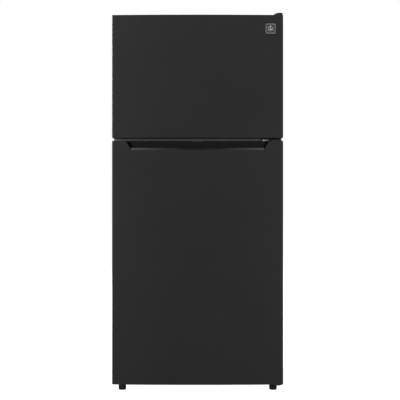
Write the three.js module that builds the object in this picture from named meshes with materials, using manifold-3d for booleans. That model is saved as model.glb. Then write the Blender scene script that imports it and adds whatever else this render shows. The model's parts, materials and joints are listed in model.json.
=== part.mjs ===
// A top freezer refrigerator: a foamed steel cabinet with two lined compartments, two crowned doors hung
// on the right, a pocket handle in the top cap of the lower door, shelves, crispers, door bins and the
// cooling parts behind them. Millimetres, +X to the right, +Y to the back, +Z up, seen from the front.
// The origin is on the floor, in the middle of the width and of the depth.
import * as THREE from "three";
import { mergeVertices } from "three/addons/utils/BufferGeometryUtils.js";
import Module from "manifold-3d";

const wasm = await Module();
wasm.setup();

// ---------------------------------------------------------------- driving dimensions
const WIDTH = 756; // across the doors
const DEPTH = 730; // from the crown of the doors to the louvres of the machine cover
const HEIGHT = 1682; // to the top of the hinge cover
const GAP = 0.3; // left between pieces that touch
const STEEL = 1.2; // sheet steel
const PLASTIC = 2.5; // formed plastic

const FRONT = -DEPTH / 2;
const BACK = DEPTH / 2;
const CROWN = 8; // how far a door bulges in the middle of its width
const DOOR_HALF = WIDTH / 2;
const DOOR_BACK = FRONT + 65; // plane of the doors' inner flange
const CABINET_FRONT = DOOR_BACK + 14; // the gaskets fill these 14 mm
const CABINET_BACK = BACK - 4;
const CABINET_HALF = DOOR_HALF - 3;
const CABINET_BOTTOM = 32;
const CABINET_TOP = HEIGHT - 12;

const FRIDGE_DOOR = { bottom: 40, top: 1116 };
const FREEZER_DOOR = { bottom: 1123.5, top: CABINET_TOP + 1 };
const HINGE = { x: DOOR_HALF - 21, y: DOOR_BACK - 30, pin: 4, bore: 4.4 };

const FLANGE = 45; // width of the cabinet's front flange
const RAIL = { bottom: 1086, top: 1154, deep: 22 }; // steel rail between the compartments
const FREEZER = { half: 316, bottom: 1158, top: 1621, back: CABINET_BACK - 60 };
const FRIDGE = { half: 326, bottom: 90, top: 1082, back: CABINET_BACK - 50 };
const HUMP = { toe: 70, heel: 110, top: 305 }; // the fridge floor climbs over the machine compartment
const MACHINE = { toe: 105, heel: 148, roof: 264 }; // sheet under the foam, over the compressor

const HANDLE = { halfTop: 316, halfBottom: 291.5, deep: 41, lip: 10 };
const DIKE = { half: 300, wall: 28, high: 85, low: 10 }; // raised ring of a door's liner
const GASKET = { half: 354, wide: 20 };
const SHELF_FRONT = -172;
const SHELF_HALF = FRIDGE.half - 4;
const SHELVES = { upper: 790, lower: 545 };
const CRISPER_COVER = { bottom: 315, top: 330 };
const FOOT = { x: 340, y: CABINET_FRONT + 24, radius: 17.5, stem: 5 };
const ROLLER = { x: 332, y: 318, radius: 20, wide: 16, axle: 4 };

// ---------------------------------------------------------------- materials
const paint = (color, roughness, metalness) =>
  new THREE.MeshStandardMaterial({ color, roughness, metalness });
const MATERIALS = {
  doorSteel: paint(0x2c2c2c, 0.45, 0.2),
  cabinetSteel: paint(0x262626, 0.5, 0.2),
  glossBlack: paint(0x161616, 0.2, 0),
  matteBlack: paint(0x1b1b1b, 0.6, 0),
  gasket: paint(0x2a2a2a, 0.8, 0),
  liner: paint(0xf1f2f2, 0.35, 0),
  whiteTrim: paint(0xe6e8ea, 0.4, 0),
  clearPlastic: paint(0xdfe8ec, 0.15, 0),
  glass: paint(0xd3e6e4, 0.05, 0),
  foam: paint(0xe8d9a6, 0.95, 0),
  zinc: paint(0x9c9ea0, 0.4, 0.9),
  aluminium: paint(0xb9bbbd, 0.4, 0.9),
  badge: paint(0x8b8d90, 0.3, 0.9),
  blackSteel: paint(0x202123, 0.4, 0.5),
};

// ---------------------------------------------------------------- solids
// A closed geometry as a manifold-3d solid, for cutting and joining.
function solid(geometry) {
  const bare = geometry.clone();
  bare.deleteAttribute("normal");
  bare.deleteAttribute("uv");
  const merged = mergeVertices(bare, 1e-4);
  const mesh = new wasm.Mesh({
    numProp: 3,
    vertProperties: merged.attributes.position.array,
    triVerts: new Uint32Array(merged.index.array),
  });
  return new wasm.Manifold(mesh);
}

// A manifold-3d solid as a geometry that three.js can draw.
function geometryOf(made) {
  const mesh = made.getMesh();
  const geometry = new THREE.BufferGeometry();
  geometry.setAttribute("position", new THREE.BufferAttribute(new Float32Array(mesh.vertProperties), 3));
  geometry.setIndex(new THREE.BufferAttribute(new Uint32Array(mesh.triVerts), 1));
  geometry.computeVertexNormals();
  return geometry;
}

const join = (...solids) => solids.reduce((a, b) => a.add(b));
const cut = (body, ...tools) => tools.reduce((a, b) => a.subtract(b), body);

function box(x0, x1, y0, y1, z0, z1) {
  const geometry = new THREE.BoxGeometry(x1 - x0, y1 - y0, z1 - z0);
  geometry.translate((x0 + x1) / 2, (y0 + y1) / 2, (z0 + z1) / 2);
  return solid(geometry);
}

// The same box on the right and, mirrored, on the left.
const pair = (x0, x1, ...rest) => [box(x0, x1, ...rest), box(-x1, -x0, ...rest)];

function extrude(points, from, to, [u, v, w], holes = []) {
  const vectors = (list) => {
    const loop = list.map(([a, b]) => new THREE.Vector2(a, b));
    return THREE.ShapeUtils.isClockWise(loop) ? loop.reverse() : loop;
  };
  const shape = new THREE.Shape(vectors(points));
  shape.holes = holes.map((hole) => new THREE.Path(vectors(hole)));
  const geometry = new THREE.ExtrudeGeometry(shape, { depth: to - from, bevelEnabled: false });
  geometry.translate(0, 0, from);
  geometry.applyMatrix4(new THREE.Matrix4().makeBasis(u, v, w));
  return solid(geometry);
}

const X = new THREE.Vector3(1, 0, 0);
const Y = new THREE.Vector3(0, 1, 0);
const Z = new THREE.Vector3(0, 0, 1);
const swap = (points) => points.map(([a, b]) => [b, a]);
// Prisms of an outline in (y, z) along X, in (x, z) along Y, and in (x, y) along Z.
const prismX = (points, x0, x1) => extrude(points, x0, x1, [Y, Z, X]);
const prismY = (points, y0, y1, holes = []) =>
  extrude(swap(points), y0, y1, [Z, X, Y], holes.map(swap));
const prismZ = (points, z0, z1, holes = []) => extrude(points, z0, z1, [X, Y, Z], holes);

function cylinder(axis, at, radius, from, to, segments = 24) {
  const geometry = new THREE.CylinderGeometry(radius, radius, to - from, segments);
  geometry.translate(0, (from + to) / 2, 0);
  const turn = new THREE.Quaternion().setFromUnitVectors(Y, axis);
  geometry.applyQuaternion(turn);
  geometry.translate(at[0], at[1], at[2]);
  return solid(geometry);
}

// A turned solid about a line along `axis` through `at`, from a profile of [radius, height].
function turned(axis, at, profile, segments = 24) {
  const points = profile.map(([r, h]) => new THREE.Vector2(r, h));
  const geometry = new THREE.LatheGeometry(points, segments);
  geometry.applyQuaternion(new THREE.Quaternion().setFromUnitVectors(Y, axis));
  geometry.translate(at[0], at[1], at[2]);
  return solid(geometry);
}

const rectangle = (u0, u1, v0, v1) => [[u0, v0], [u1, v0], [u1, v1], [u0, v1]];

// A rectangle with round corners, as an outline.
function rounded(u0, u1, v0, v1, radius, steps = 4) {
  const corners = [
    [u1 - radius, v0 + radius, -90],
    [u1 - radius, v1 - radius, 0],
    [u0 + radius, v1 - radius, 90],
    [u0 + radius, v0 + radius, 180],
  ];
  return corners.flatMap(([cu, cv, start]) => arc(cu, cv, radius, start, start + 90, steps));
}

function arc(cu, cv, radius, startDegrees, endDegrees, steps) {
  return Array.from({ length: steps + 1 }, (_, i) => {
    const angle = THREE.MathUtils.degToRad(startDegrees + ((endDegrees - startDegrees) * i) / steps);
    return [cu + radius * Math.cos(angle), cv + radius * Math.sin(angle)];
  });
}

// A frame between two rectangles in (x, z), along Y.
const frameY = (half, z0, z1, inset, y0, y1) =>
  cut(
    box(-half, half, y0, y1, z0, z1),
    box(inset - half, half - inset, y0 - 1, y1 + 1, z0 + inset, z1 - inset),
  );

// An open tray: a box with a floor and four walls.
const tray = (x0, x1, y0, y1, z0, z1, wall) =>
  cut(
    box(x0, x1, y0, y1, z0, z1),
    box(x0 + wall, x1 - wall, y0 + wall, y1 - wall, z0 + wall, z1 + 1),
  );

const root = new THREE.Group();
function add(name, body, material, group = root) {
  const mesh = new THREE.Mesh(geometryOf(body), material);
  mesh.name = name;
  group.add(mesh);
}

// ---------------------------------------------------------------- cabinet
// Sides and top of the cabinet in (x, z), inset from its outside and cut off at `bottom`.
function wrapOutline(inset, bottom = CABINET_BOTTOM) {
  const half = CABINET_HALF - inset;
  const radius = 5 - inset;
  const spring = CABINET_TOP - 5;
  return [
    [half, bottom],
    ...arc(half - radius, spring, radius, 0, 90, 4),
    ...arc(radius - half, spring, radius, 90, 180, 4),
    [-half, bottom],
  ];
}

function cabinetShell() {
  const outer = wrapOutline(0);
  const wrap = prismY([...outer, ...wrapOutline(STEEL).reverse()], CABINET_FRONT, CABINET_BACK);
  const inner = CABINET_HALF - FLANGE;
  const opening = [
    [-inner, CABINET_BOTTOM],
    [-inner, CABINET_TOP - FLANGE],
    [inner, CABINET_TOP - FLANGE],
    [inner, CABINET_BOTTOM],
  ];
  const flange = prismY([...outer, ...opening], CABINET_FRONT, CABINET_FRONT + STEEL);
  return join(wrap, flange);
}

const INSIDE = CABINET_HALF - STEEL - GAP; // half the width inside the steel wrap
function backPanel() {
  const sheet = prismY(wrapOutline(STEEL + GAP, MACHINE.roof + 2), CABINET_BACK - 1, CABINET_BACK);
  const spacers = pair(270, 340, CABINET_BACK - 0.5, BACK, 1500, 1590);
  return join(sheet, ...spacers);
}

// The welded base: front rail, bottom sheet that climbs over the compressor, side bars and rear tray.
const BASE = { front: CABINET_FRONT, railBack: CABINET_FRONT + 50, railTop: 86, panel: 37, tray: 33 };
function sheetUnderFoam() {
  const { toe, heel, roof } = MACHINE;
  const p = BASE.panel;
  const back = CABINET_BACK - 2;
  const slope = (heel - toe) / (roof - p); // how far the sheet leans back for each millimetre up
  const shift = STEEL * slope;
  return prismX(
    [
      [BASE.railBack - 2, p],
      [toe + STEEL, p],
      [heel + STEEL - shift, roof - STEEL],
      [back, roof - STEEL],
      [back, roof],
      [heel, roof],
      [toe + shift, p + STEEL],
      [BASE.railBack - 2, p + STEEL],
    ],
    -INSIDE,
    INSIDE,
  );
}

function frontRail() {
  const { front, railBack, railTop } = BASE;
  const wall = 2;
  return prismX(
    [
      [front, CABINET_BOTTOM],
      [railBack, CABINET_BOTTOM],
      [railBack, BASE.panel + STEEL],
      [railBack - wall, BASE.panel + STEEL],
      [railBack - wall, CABINET_BOTTOM + wall],
      [front + wall, CABINET_BOTTOM + wall],
      [front + wall, railTop - wall],
      [railBack, railTop - wall],
      [railBack, railTop],
      [front, railTop],
    ],
    GAP + FLANGE - CABINET_HALF,
    CABINET_HALF - FLANGE - GAP,
  );
}

// Ears and axle for one rear roller, hung from the tray.
function rollerBracket(side) {
  const x = side * ROLLER.x;
  const halfGap = ROLLER.wide / 2 + 1.5;
  const ear = (inner) => {
    const x0 = x + inner - 1.5;
    return box(x0, x0 + 3, ROLLER.y - 9, ROLLER.y + 9, ROLLER.radius - 8, BASE.tray + 2);
  };
  const axle = cylinder(X, [x, ROLLER.y, ROLLER.radius], ROLLER.axle, -halfGap - 3, halfGap + 3, 16);
  return join(ear(-halfGap - 1.5), ear(halfGap + 1.5), axle);
}

function baseFrame() {
  const inner = CABINET_HALF - FLANGE - GAP;
  const top = BASE.tray + 3;
  const corners = pair(inner - 1, INSIDE, BASE.front + STEEL + GAP, BASE.railBack, CABINET_BOTTOM, top);
  const bars = pair(350, INSIDE, BASE.railBack - 4, CABINET_BACK - 6, BASE.tray, top);
  const rear = box(-INSIDE, INSIDE, 125, CABINET_BACK - 6, BASE.tray, top);
  const joiner = box(-351, 351, 100, 126, BASE.tray, BASE.panel + STEEL);
  const wells = pair(
    ROLLER.x - ROLLER.wide / 2 - 1.5,
    ROLLER.x + ROLLER.wide / 2 + 1.5,
    ROLLER.y - ROLLER.radius - 3,
    ROLLER.y + ROLLER.radius + 3,
    BASE.tray - 1,
    BASE.tray + 4,
  );
  const stems = [-1, 1].map((side) =>
    cylinder(Z, [side * FOOT.x, FOOT.y, 0], FOOT.stem + 0.5, CABINET_BOTTOM - 2, BASE.tray + 5, 16),
  );
  const sheets = join(frontRail(), ...corners, ...bars, rear, joiner, sheetUnderFoam());
  return join(cut(sheets, ...wells, ...stems), rollerBracket(-1), rollerBracket(1));
}

// The fridge liner's inside in (y, z), and the same outline grown by the sheet's thickness.
function fridgeOutline(grow) {
  const lean = (HUMP.heel - HUMP.toe) / (HUMP.top - FRIDGE.bottom);
  const across = grow * Math.hypot(1, lean);
  return [
    [CABINET_FRONT - (grow ? 0 : 1), FRIDGE.bottom - grow],
    [HUMP.toe + across - grow * lean, FRIDGE.bottom - grow],
    [HUMP.heel + across - grow * lean, HUMP.top - grow],
    [FRIDGE.back + grow, HUMP.top - grow],
    [FRIDGE.back + grow, FRIDGE.top + grow],
    [CABINET_FRONT - (grow ? 0 : 1), FRIDGE.top + grow],
  ];
}

// The lip that covers the steel's inner edge around a compartment's mouth.
function lip(half, bottom, top, outerBottom, outerTop) {
  const edge = CABINET_HALF - FLANGE - GAP;
  const mouth = rectangle(-half, half, bottom, top);
  return prismY(rectangle(-edge, edge, outerBottom, outerTop), CABINET_FRONT, CABINET_FRONT + 2, [mouth]);
}

const LEDGE = 6; // height of the moulded ledges that carry the shelves
function ledges(z, from, to) {
  return pair(FRIDGE.half - 9, FRIDGE.half + 1, from, to, z - GAP - LEDGE, z - GAP);
}

function fridgeLiner() {
  const outside = FRIDGE.half + PLASTIC;
  const shell = cut(
    prismX(fridgeOutline(PLASTIC), -outside, outside),
    prismX(fridgeOutline(0), -FRIDGE.half, FRIDGE.half),
  );
  const rim = lip(FRIDGE.half, FRIDGE.bottom, FRIDGE.top, BASE.railTop + GAP, RAIL.bottom - GAP);
  return join(
    shell,
    rim,
    ...ledges(SHELVES.upper, -150, 290),
    ...ledges(SHELVES.lower, -150, 290),
    ...ledges(CRISPER_COVER.bottom, -150, 250),
  );
}

function freezerLiner() {
  const { half, bottom, top, back } = FREEZER;
  const outside = half + PLASTIC;
  const outer = box(-outside, outside, CABINET_FRONT, back + PLASTIC, bottom - PLASTIC, top + PLASTIC);
  const inner = box(-half, half, CABINET_FRONT - 1, back, bottom, top);
  const rim = lip(half, bottom, top, RAIL.top + GAP, CABINET_TOP - FLANGE - GAP);
  const rests = pair(half - 9, half + 1, -140, 225, 1388 - LEDGE, 1388);
  return join(cut(outer, inner), rim, ...rests);
}

// The foam fills what the steel, the liners, the rails and the base leave.
function cabinetFoam() {
  const front = CABINET_FRONT + STEEL + GAP;
  const block = prismY(wrapOutline(STEEL + GAP), front, CABINET_BACK - 1 - GAP);
  const g = PLASTIC + GAP;
  const freezer = box(
    -FREEZER.half - g,
    FREEZER.half + g,
    front - 1,
    FREEZER.back + g,
    FREEZER.bottom - g,
    FREEZER.top + g,
  );
  const fridge = prismX(fridgeOutline(g), -FRIDGE.half - g, FRIDGE.half + g);
  const lips = box(-332, 332, front - 1, CABINET_FRONT + 2 + GAP, BASE.railTop, CABINET_TOP - FLANGE + 1);
  const railBack = CABINET_FRONT + RAIL.deep + GAP;
  const rail = box(-332, 332, front - 1, railBack, RAIL.bottom - GAP, RAIL.top + GAP);
  const base = box(-INSIDE - 1, INSIDE + 1, front - 1, BASE.railBack + GAP, 20, BASE.railTop + GAP);
  const belly = prismX(
    [
      [BASE.railBack - 5, 0],
      [BASE.railBack - 5, BASE.panel + STEEL + GAP],
      [MACHINE.toe - GAP, BASE.panel + STEEL + GAP],
      [MACHINE.heel - GAP, MACHINE.roof + GAP],
      [BACK + 5, MACHINE.roof + GAP],
      [BACK + 5, 0],
    ],
    -INSIDE - 1,
    INSIDE + 1,
  );
  return cut(block, freezer, fridge, lips, rail, base, belly);
}

function centerRail() {
  const half = CABINET_HALF - FLANGE - GAP;
  const back = CABINET_FRONT + RAIL.deep;
  const channel = [
    [back, RAIL.bottom],
    [CABINET_FRONT, RAIL.bottom],
    [CABINET_FRONT, RAIL.top],
    [back, RAIL.top],
    [back, RAIL.top - STEEL],
    [CABINET_FRONT + STEEL, RAIL.top - STEEL],
    [CABINET_FRONT + STEEL, RAIL.bottom + STEEL],
    [back, RAIL.bottom + STEEL],
  ];
  return prismX(channel, -half, half);
}

function addCabinet() {
  const m = MATERIALS;
  add("cabinet_shell", cabinetShell(), m.cabinetSteel);
  add("back_panel", backPanel(), m.zinc);
  add("base_frame", baseFrame(), m.blackSteel);
  add("cabinet_foam", cabinetFoam(), m.foam);
  add("freezer_liner", freezerLiner(), m.liner);
  add("fridge_liner", fridgeLiner(), m.liner);
  add("center_rail", centerRail(), m.cabinetSteel);
}

// ---------------------------------------------------------------- hinges
const hingePin = (from, to) => cylinder(Z, [HINGE.x, HINGE.y, 0], HINGE.pin, from, to, 16);

function topHinge() {
  const under = CABINET_TOP + GAP;
  const plate = FREEZER_DOOR.top + 1.5;
  const foot = box(300, 371, CABINET_FRONT + 5, -205, under, plate + 0.5);
  const arm = prismZ(rounded(HINGE.x - 10, HINGE.x + 14, HINGE.y - 14, -205, 6), plate, plate + 3);
  const brace = box(300, HINGE.x, CABINET_FRONT + 5, -205, plate, plate + 3);
  const pin = hingePin(FREEZER_DOOR.top - 14, plate + 1);
  return join(foot, arm, brace, pin);
}

// A thin cover over the top hinge, open below. The part over the door has a sloping flank.
function topHingeCover() {
  const left = 333;
  const right = DOOR_HALF - 2;
  const rear = CABINET_FRONT + 2;
  const form = (wall) => {
    const drop = wall ? 1 : 0;
    const end = right - wall;
    const roof = HEIGHT - wall;
    const flank = [
      [left + 1.6 * wall, FREEZER_DOOR.top + 1.2 - drop],
      [left + 20 + 0.6 * wall, roof],
      ...arc(end - 3, roof - 3, 3, 90, 0, 3),
      [end, FREEZER_DOOR.top + 1.2 - drop],
    ];
    const nose = prismY(flank, HINGE.y - 20 + wall, rear + wall + 1);
    const main = box(294 + wall, end, rear + wall, -196 - wall, CABINET_TOP + GAP - drop, roof);
    return join(nose, main);
  };
  return cut(form(0), form(2));
}

function centerHinge() {
  const middle = (FRIDGE_DOOR.top + FREEZER_DOOR.bottom) / 2;
  const leg = box(284, 374, CABINET_FRONT - 3, CABINET_FRONT - GAP, middle - 12.7, middle + 12.7);
  const arm = prismZ(
    rounded(HINGE.x - 26, HINGE.x + 16, HINGE.y - 14, CABINET_FRONT - 1, 6),
    middle - 1.5,
    middle + 1.5,
  );
  const pin = hingePin(FRIDGE_DOOR.top - 11, FREEZER_DOOR.bottom + 13);
  return join(leg, arm, pin);
}

function bottomHinge() {
  const plate = FRIDGE_DOOR.bottom - 5.5;
  const leg = box(300, 374, CABINET_FRONT - 3, CABINET_FRONT - GAP, plate, plate + 17);
  const outline = rounded(HINGE.x - 14, HINGE.x + 16, HINGE.y - 14, CABINET_FRONT - 1, 6);
  const arm = prismZ(outline, plate, plate + 3);
  const pin = hingePin(plate - 3, FRIDGE_DOOR.bottom + 13);
  const collar = cylinder(Z, [HINGE.x, HINGE.y, 0], 7.5, plate - 3, plate + 1, 6);
  return join(leg, arm, pin, collar);
}

function addHinges() {
  add("top_hinge", topHinge(), MATERIALS.blackSteel);
  add("top_hinge_cover", topHingeCover(), MATERIALS.matteBlack);
  add("center_hinge", centerHinge(), MATERIALS.blackSteel);
  add("bottom_hinge", bottomHinge(), MATERIALS.blackSteel);
}

// ---------------------------------------------------------------- doors
// Plan outline of a door in (x, y), inset from its outside: crowned front, round front corners, flat back.
function doorOutline(inset, back) {
  const half = DOOR_HALF - inset;
  const radius = 6 - inset;
  const edge = FRONT + CROWN + inset;
  const reach = half - radius;
  const crown = (x) => edge - CROWN * (1 - (x / reach) ** 2);
  const steps = 20;
  const face = Array.from({ length: steps + 1 }, (_, i) => {
    const x = reach * ((2 * i) / steps - 1);
    return [x, crown(x)];
  });
  return [
    [-half, back],
    ...arc(-reach, edge + radius, radius, 180, 255, 3),
    ...face,
    ...arc(reach, edge + radius, radius, 285, 360, 3),
    [half, back],
  ];
}

const INNER = STEEL + GAP; // from a door's outside to the pieces inside its skin
const HEM = 15; // the skin's return behind the door
function doorSkin(bottom, top) {
  const outer = doorOutline(0, DOOR_BACK);
  const inner = doorOutline(STEEL, DOOR_BACK - STEEL);
  const hem = DOOR_HALF - HEM;
  return prismZ(
    [
      [-hem, DOOR_BACK],
      ...outer,
      [hem, DOOR_BACK],
      [hem, DOOR_BACK - STEEL],
      ...inner.reverse(),
      [-hem, DOOR_BACK - STEEL],
    ],
    bottom,
    top,
  );
}

// Cutters that round a door's two corners, seen from the front: its upper ones (way 1) or lower ones (-1).
const CORNER = 6;
function corners(z, way) {
  const reach = DOOR_HALF - CORNER;
  const bend = arc(reach, z - way * CORNER, CORNER, way * 90, 0, 4);
  const outline = [...bend, [DOOR_HALF + 1, z - way * CORNER], [DOOR_HALF + 1, z + way], [reach, z + way]];
  const right = prismY(outline, FRONT - 1, DOOR_BACK + 1);
  return [right, right.mirror([1, 0, 0])];
}

const LINER_FRONT = DOOR_BACK - 3;
const doorBlock = (bottom, top) => prismZ(doorOutline(INNER, LINER_FRONT - GAP), bottom, top);
const hingeBore = (from, to) => cylinder(Z, [HINGE.x, HINGE.y, 0], HINGE.bore, from, to, 16);

// Liner of a door: a flange sheet with a hollow raised ring that carries the bins.
function doorLiner(door, ring) {
  const half = DOOR_HALF - HEM - GAP;
  const crest = DOOR_BACK + DIKE.high;
  const sheet = box(-half, half, LINER_FRONT, DOOR_BACK - GAP, door.bottom + 18, door.top - 18);
  const raised = frameY(DIKE.half, ring.bottom, ring.top, DIKE.wall, DOOR_BACK - 2, crest);
  const hollow = frameY(
    DIKE.half - PLASTIC,
    ring.bottom + PLASTIC,
    ring.top - PLASTIC,
    DIKE.wall - 2 * PLASTIC,
    LINER_FRONT - 1,
    crest - PLASTIC,
  );
  return cut(join(sheet, raised), hollow);
}

// Low rib around the flat foot of the fridge door's liner, which leaves room for the crispers.
const lowRib = () =>
  frameY(DIKE.half, 110, FRIDGE_RING.bottom + 5, DIKE.wall, DOOR_BACK - 2, DOOR_BACK + DIKE.low);

const doorGasket = (bottom, top) =>
  frameY(GASKET.half, bottom, top, GASKET.wide, DOOR_BACK + GAP, CABINET_FRONT - GAP);

// A bin hangs between the ring's cheeks; its front corners are cut off.
function doorBin(bottom, high, deep) {
  const half = DIKE.half - DIKE.wall - 0.5;
  const back = DOOR_BACK + GAP;
  const plan = (wall) => [
    [-half + wall, back + wall],
    [half - wall, back + wall],
    [half - wall, back + deep - 22],
    ...arc(half - 22, back + deep - 22, 22 - wall, 0, 90, 4),
    ...arc(22 - half, back + deep - 22, 22 - wall, 90, 180, 4),
    [-half + wall, back + deep - 22],
  ];
  return cut(
    prismZ(plan(0), bottom, bottom + high),
    prismZ(plan(PLASTIC), bottom + PLASTIC, bottom + high + 1),
    box(-half - 1, half + 1, back + deep - 24, back + deep + 1, bottom + 0.72 * high, bottom + high + 1),
  );
}

const FREEZER_RING = { bottom: 1186, top: 1593 };
const FRIDGE_RING = { bottom: 335, top: 1052 };
const BIN_DEEP = 108;

function freezerDoor(group) {
  const { bottom, top } = FREEZER_DOOR;
  const m = MATERIALS;
  const capTop = cut(doorBlock(top - 14, top), hingeBore(top - 20, top + 1));
  const bush = cylinder(Z, [HINGE.x, HINGE.y, 0], 9, bottom, bottom + 6);
  const grip = prismX(
    [
      [-346, bottom - 1],
      [-341, bottom + 13],
      [-322, bottom + 13],
      [-315, bottom - 1],
    ],
    -250,
    250,
  );
  const plug = join(bush, doorBlock(bottom + 4.8, bottom + 17));
  const rounding = corners(bottom + 4.5, -1);
  const capBottom = cut(plug, grip, hingeBore(bottom - 1, bottom + 14), ...rounding);
  add("freezer_door_skin", cut(doorSkin(bottom + 4.5, top), ...rounding), m.doorSteel, group);
  add("freezer_door_foam", doorBlock(bottom + 17 + GAP, top - 14 - GAP), m.foam, group);
  add("freezer_door_liner", doorLiner(FREEZER_DOOR, FREEZER_RING), m.liner, group);
  add("freezer_door_gasket", doorGasket(bottom + 10, top - 14), m.gasket, group);
  add("freezer_door_top_cap", capTop, m.matteBlack, group);
  add("freezer_door_bottom_cap", capBottom, m.matteBlack, group);
  add("freezer_door_bin_upper", doorBin(1400, 88, BIN_DEEP - 10), m.clearPlastic, group);
  add("freezer_door_bin_lower", doorBin(1216, 88, BIN_DEEP - 10), m.clearPlastic, group);
  add("badge", badge(), m.badge, group);
}

// A small square plate with a raised six-armed snow crystal.
const BADGE = { x: 322, z: 1610, half: 21.5 };
function badge() {
  const face = FRONT + CROWN - CROWN * (1 - ((BADGE.x - BADGE.half) / (DOOR_HALF - 6)) ** 2);
  const { x, z, half } = BADGE;
  const plate = prismY(rounded(x - half, x + half, z - half, z + half, 3, 3), face - 1.6, face - GAP);
  const arm = (degrees) => {
    const length = 14;
    const bar = new THREE.BoxGeometry(2 * length, 1.2, 2.2);
    bar.rotateY(THREE.MathUtils.degToRad(degrees));
    bar.translate(x, face - 2, z);
    return solid(bar);
  };
  return join(plate, arm(30), arm(90), arm(150));
}

// The pocket: a trapezoid opening with slanted ends, a bevelled lip and a finger trough behind it.
function pocket() {
  const top = FRIDGE_DOOR.top;
  const sill = top - HANDLE.deep;
  const trough = sill - 17;
  const lean = (HANDLE.halfTop - HANDLE.halfBottom) / HANDLE.deep;
  const section = prismX(
    [
      [FRONT - 10, top + 10],
      [FRONT - 10, sill],
      [FRONT + 7, sill],
      [FRONT + 13, sill + HANDLE.lip],
      [FRONT + 15, trough + 5],
      [FRONT + 20, trough],
      [FRONT + 25, trough + 5],
      [FRONT + 31, sill + 12],
      [FRONT + 33, top + 10],
    ],
    -DOOR_HALF,
    DOOR_HALF,
  );
  const high = HANDLE.halfTop + 10 * lean;
  const low = HANDLE.halfBottom - 18 * lean;
  const mouth = [
    [-high, top + 10],
    [high, top + 10],
    [low, sill - 18],
    [-low, sill - 18],
  ];
  return section.intersect(prismY(mouth, FRONT - 10, DOOR_BACK));
}

function handleCap() {
  const top = FRIDGE_DOOR.top;
  const body = doorBlock(top - 70, top);
  const ends = pair(332, DOOR_HALF, FRONT, DOOR_BACK, top - 71, top - 12);
  return cut(body, ...ends, pocket(), hingeBore(top - 14, top + 1), ...corners(top, 1));
}

function fridgeDoor(group) {
  const { bottom, top } = FRIDGE_DOOR;
  const m = MATERIALS;
  const sill = top - HANDLE.deep;
  const notch = prismY(
    [
      [-HANDLE.halfTop - 0.6, top + 1],
      [HANDLE.halfTop + 0.6, top + 1],
      [HANDLE.halfBottom, sill],
      [-HANDLE.halfBottom, sill],
    ],
    FRONT - 5,
    FRONT + 25,
  );
  const capSpace = join(
    box(-400, 400, FRONT - 5, DOOR_BACK, top - 12 - GAP, top + 5),
    box(-332 - GAP, 332 + GAP, FRONT - 5, DOOR_BACK, top - 70 - GAP, top + 5),
  );
  const capBottom = cut(doorBlock(bottom, bottom + 14), hingeBore(bottom - 1, bottom + 20));
  add("fridge_door_skin", cut(doorSkin(bottom, top), notch, ...corners(top, 1)), m.doorSteel, group);
  add("fridge_door_foam", cut(doorBlock(bottom + 14 + GAP, top), capSpace), m.foam, group);
  add("fridge_door_liner", join(doorLiner(FRIDGE_DOOR, FRIDGE_RING), lowRib()), m.liner, group);
  add("fridge_door_gasket", doorGasket(bottom + 14, top - 10), m.gasket, group);
  add("handle_cap", handleCap(), m.glossBlack, group);
  add("fridge_door_bottom_cap", capBottom, m.matteBlack, group);
  add("fridge_door_bin_upper", doorBin(680, 88, BIN_DEEP), m.clearPlastic, group);
  add("fridge_door_bin_middle", doorBin(530, 96, BIN_DEEP), m.clearPlastic, group);
  add("fridge_door_bin_lower", doorBin(368, 124, BIN_DEEP), m.clearPlastic, group);
  add("dairy_box", dairyBox(), m.whiteTrim, group);
}

// The dairy box and its flip-up lid, which turns on two stub pins.
const DAIRY = {
  bottom: 815,
  top: 915,
  half: 271.5,
  front: DOOR_BACK + 104,
  pivotY: DOOR_BACK + 12,
  pivotZ: 918,
};
function dairyBox() {
  const { bottom, top, half, front, pivotY, pivotZ } = DAIRY;
  const back = DOOR_BACK + GAP;
  const body = cut(
    box(-half, half, back, front, bottom, top),
    box(PLASTIC - half, half - PLASTIC, back + PLASTIC, front - PLASTIC, bottom + PLASTIC, top + 1),
    box(-half - 1, half + 1, front - 12, front + 1, bottom + 34, top + 1),
  );
  const ears = pair(half - PLASTIC, half, back, pivotY + 8, top - 5, pivotZ + 7);
  const bores = cylinder(X, [0, pivotY, pivotZ], 3.4, -half - 1, half + 1, 12);
  return cut(join(body, ...ears), bores);
}

function dairyLid() {
  const { half, front, pivotY, pivotZ, bottom } = DAIRY;
  const reach = front + 4;
  const under = pivotZ - 1.5;
  const profile = [
    [pivotY - 5, under],
    [pivotY - 5, under + 3],
    ...arc(reach - 14, under - 11, 14, 90, 0, 4),
    [reach, bottom + 30],
    [reach - 2.5, bottom + 30],
    ...arc(reach - 14, under - 11, 11.5, 0, 90, 4).map(([y, z]) => [y, z - 0.5]),
  ];
  const plate = prismX(profile, 4 - half, half - 4);
  const pins = cylinder(X, [0, pivotY, pivotZ], 3, 0.5 - half, half - 0.5, 12);
  return join(plate, pins);
}

function addDoors() {
  const freezerGroup = new THREE.Group();
  const fridgeGroup = new THREE.Group();
  root.add(freezerGroup, fridgeGroup);
  freezerDoor(freezerGroup);
  fridgeDoor(fridgeGroup);
  add("dairy_lid", dairyLid(), MATERIALS.clearPlastic, fridgeGroup);
}

// ---------------------------------------------------------------- freezer inside
const COVER = { front: 236, half: FREEZER.half - 4, bottom: 1162, top: 1617 };
const FAN = { z: 1500, radius: 52 };

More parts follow.
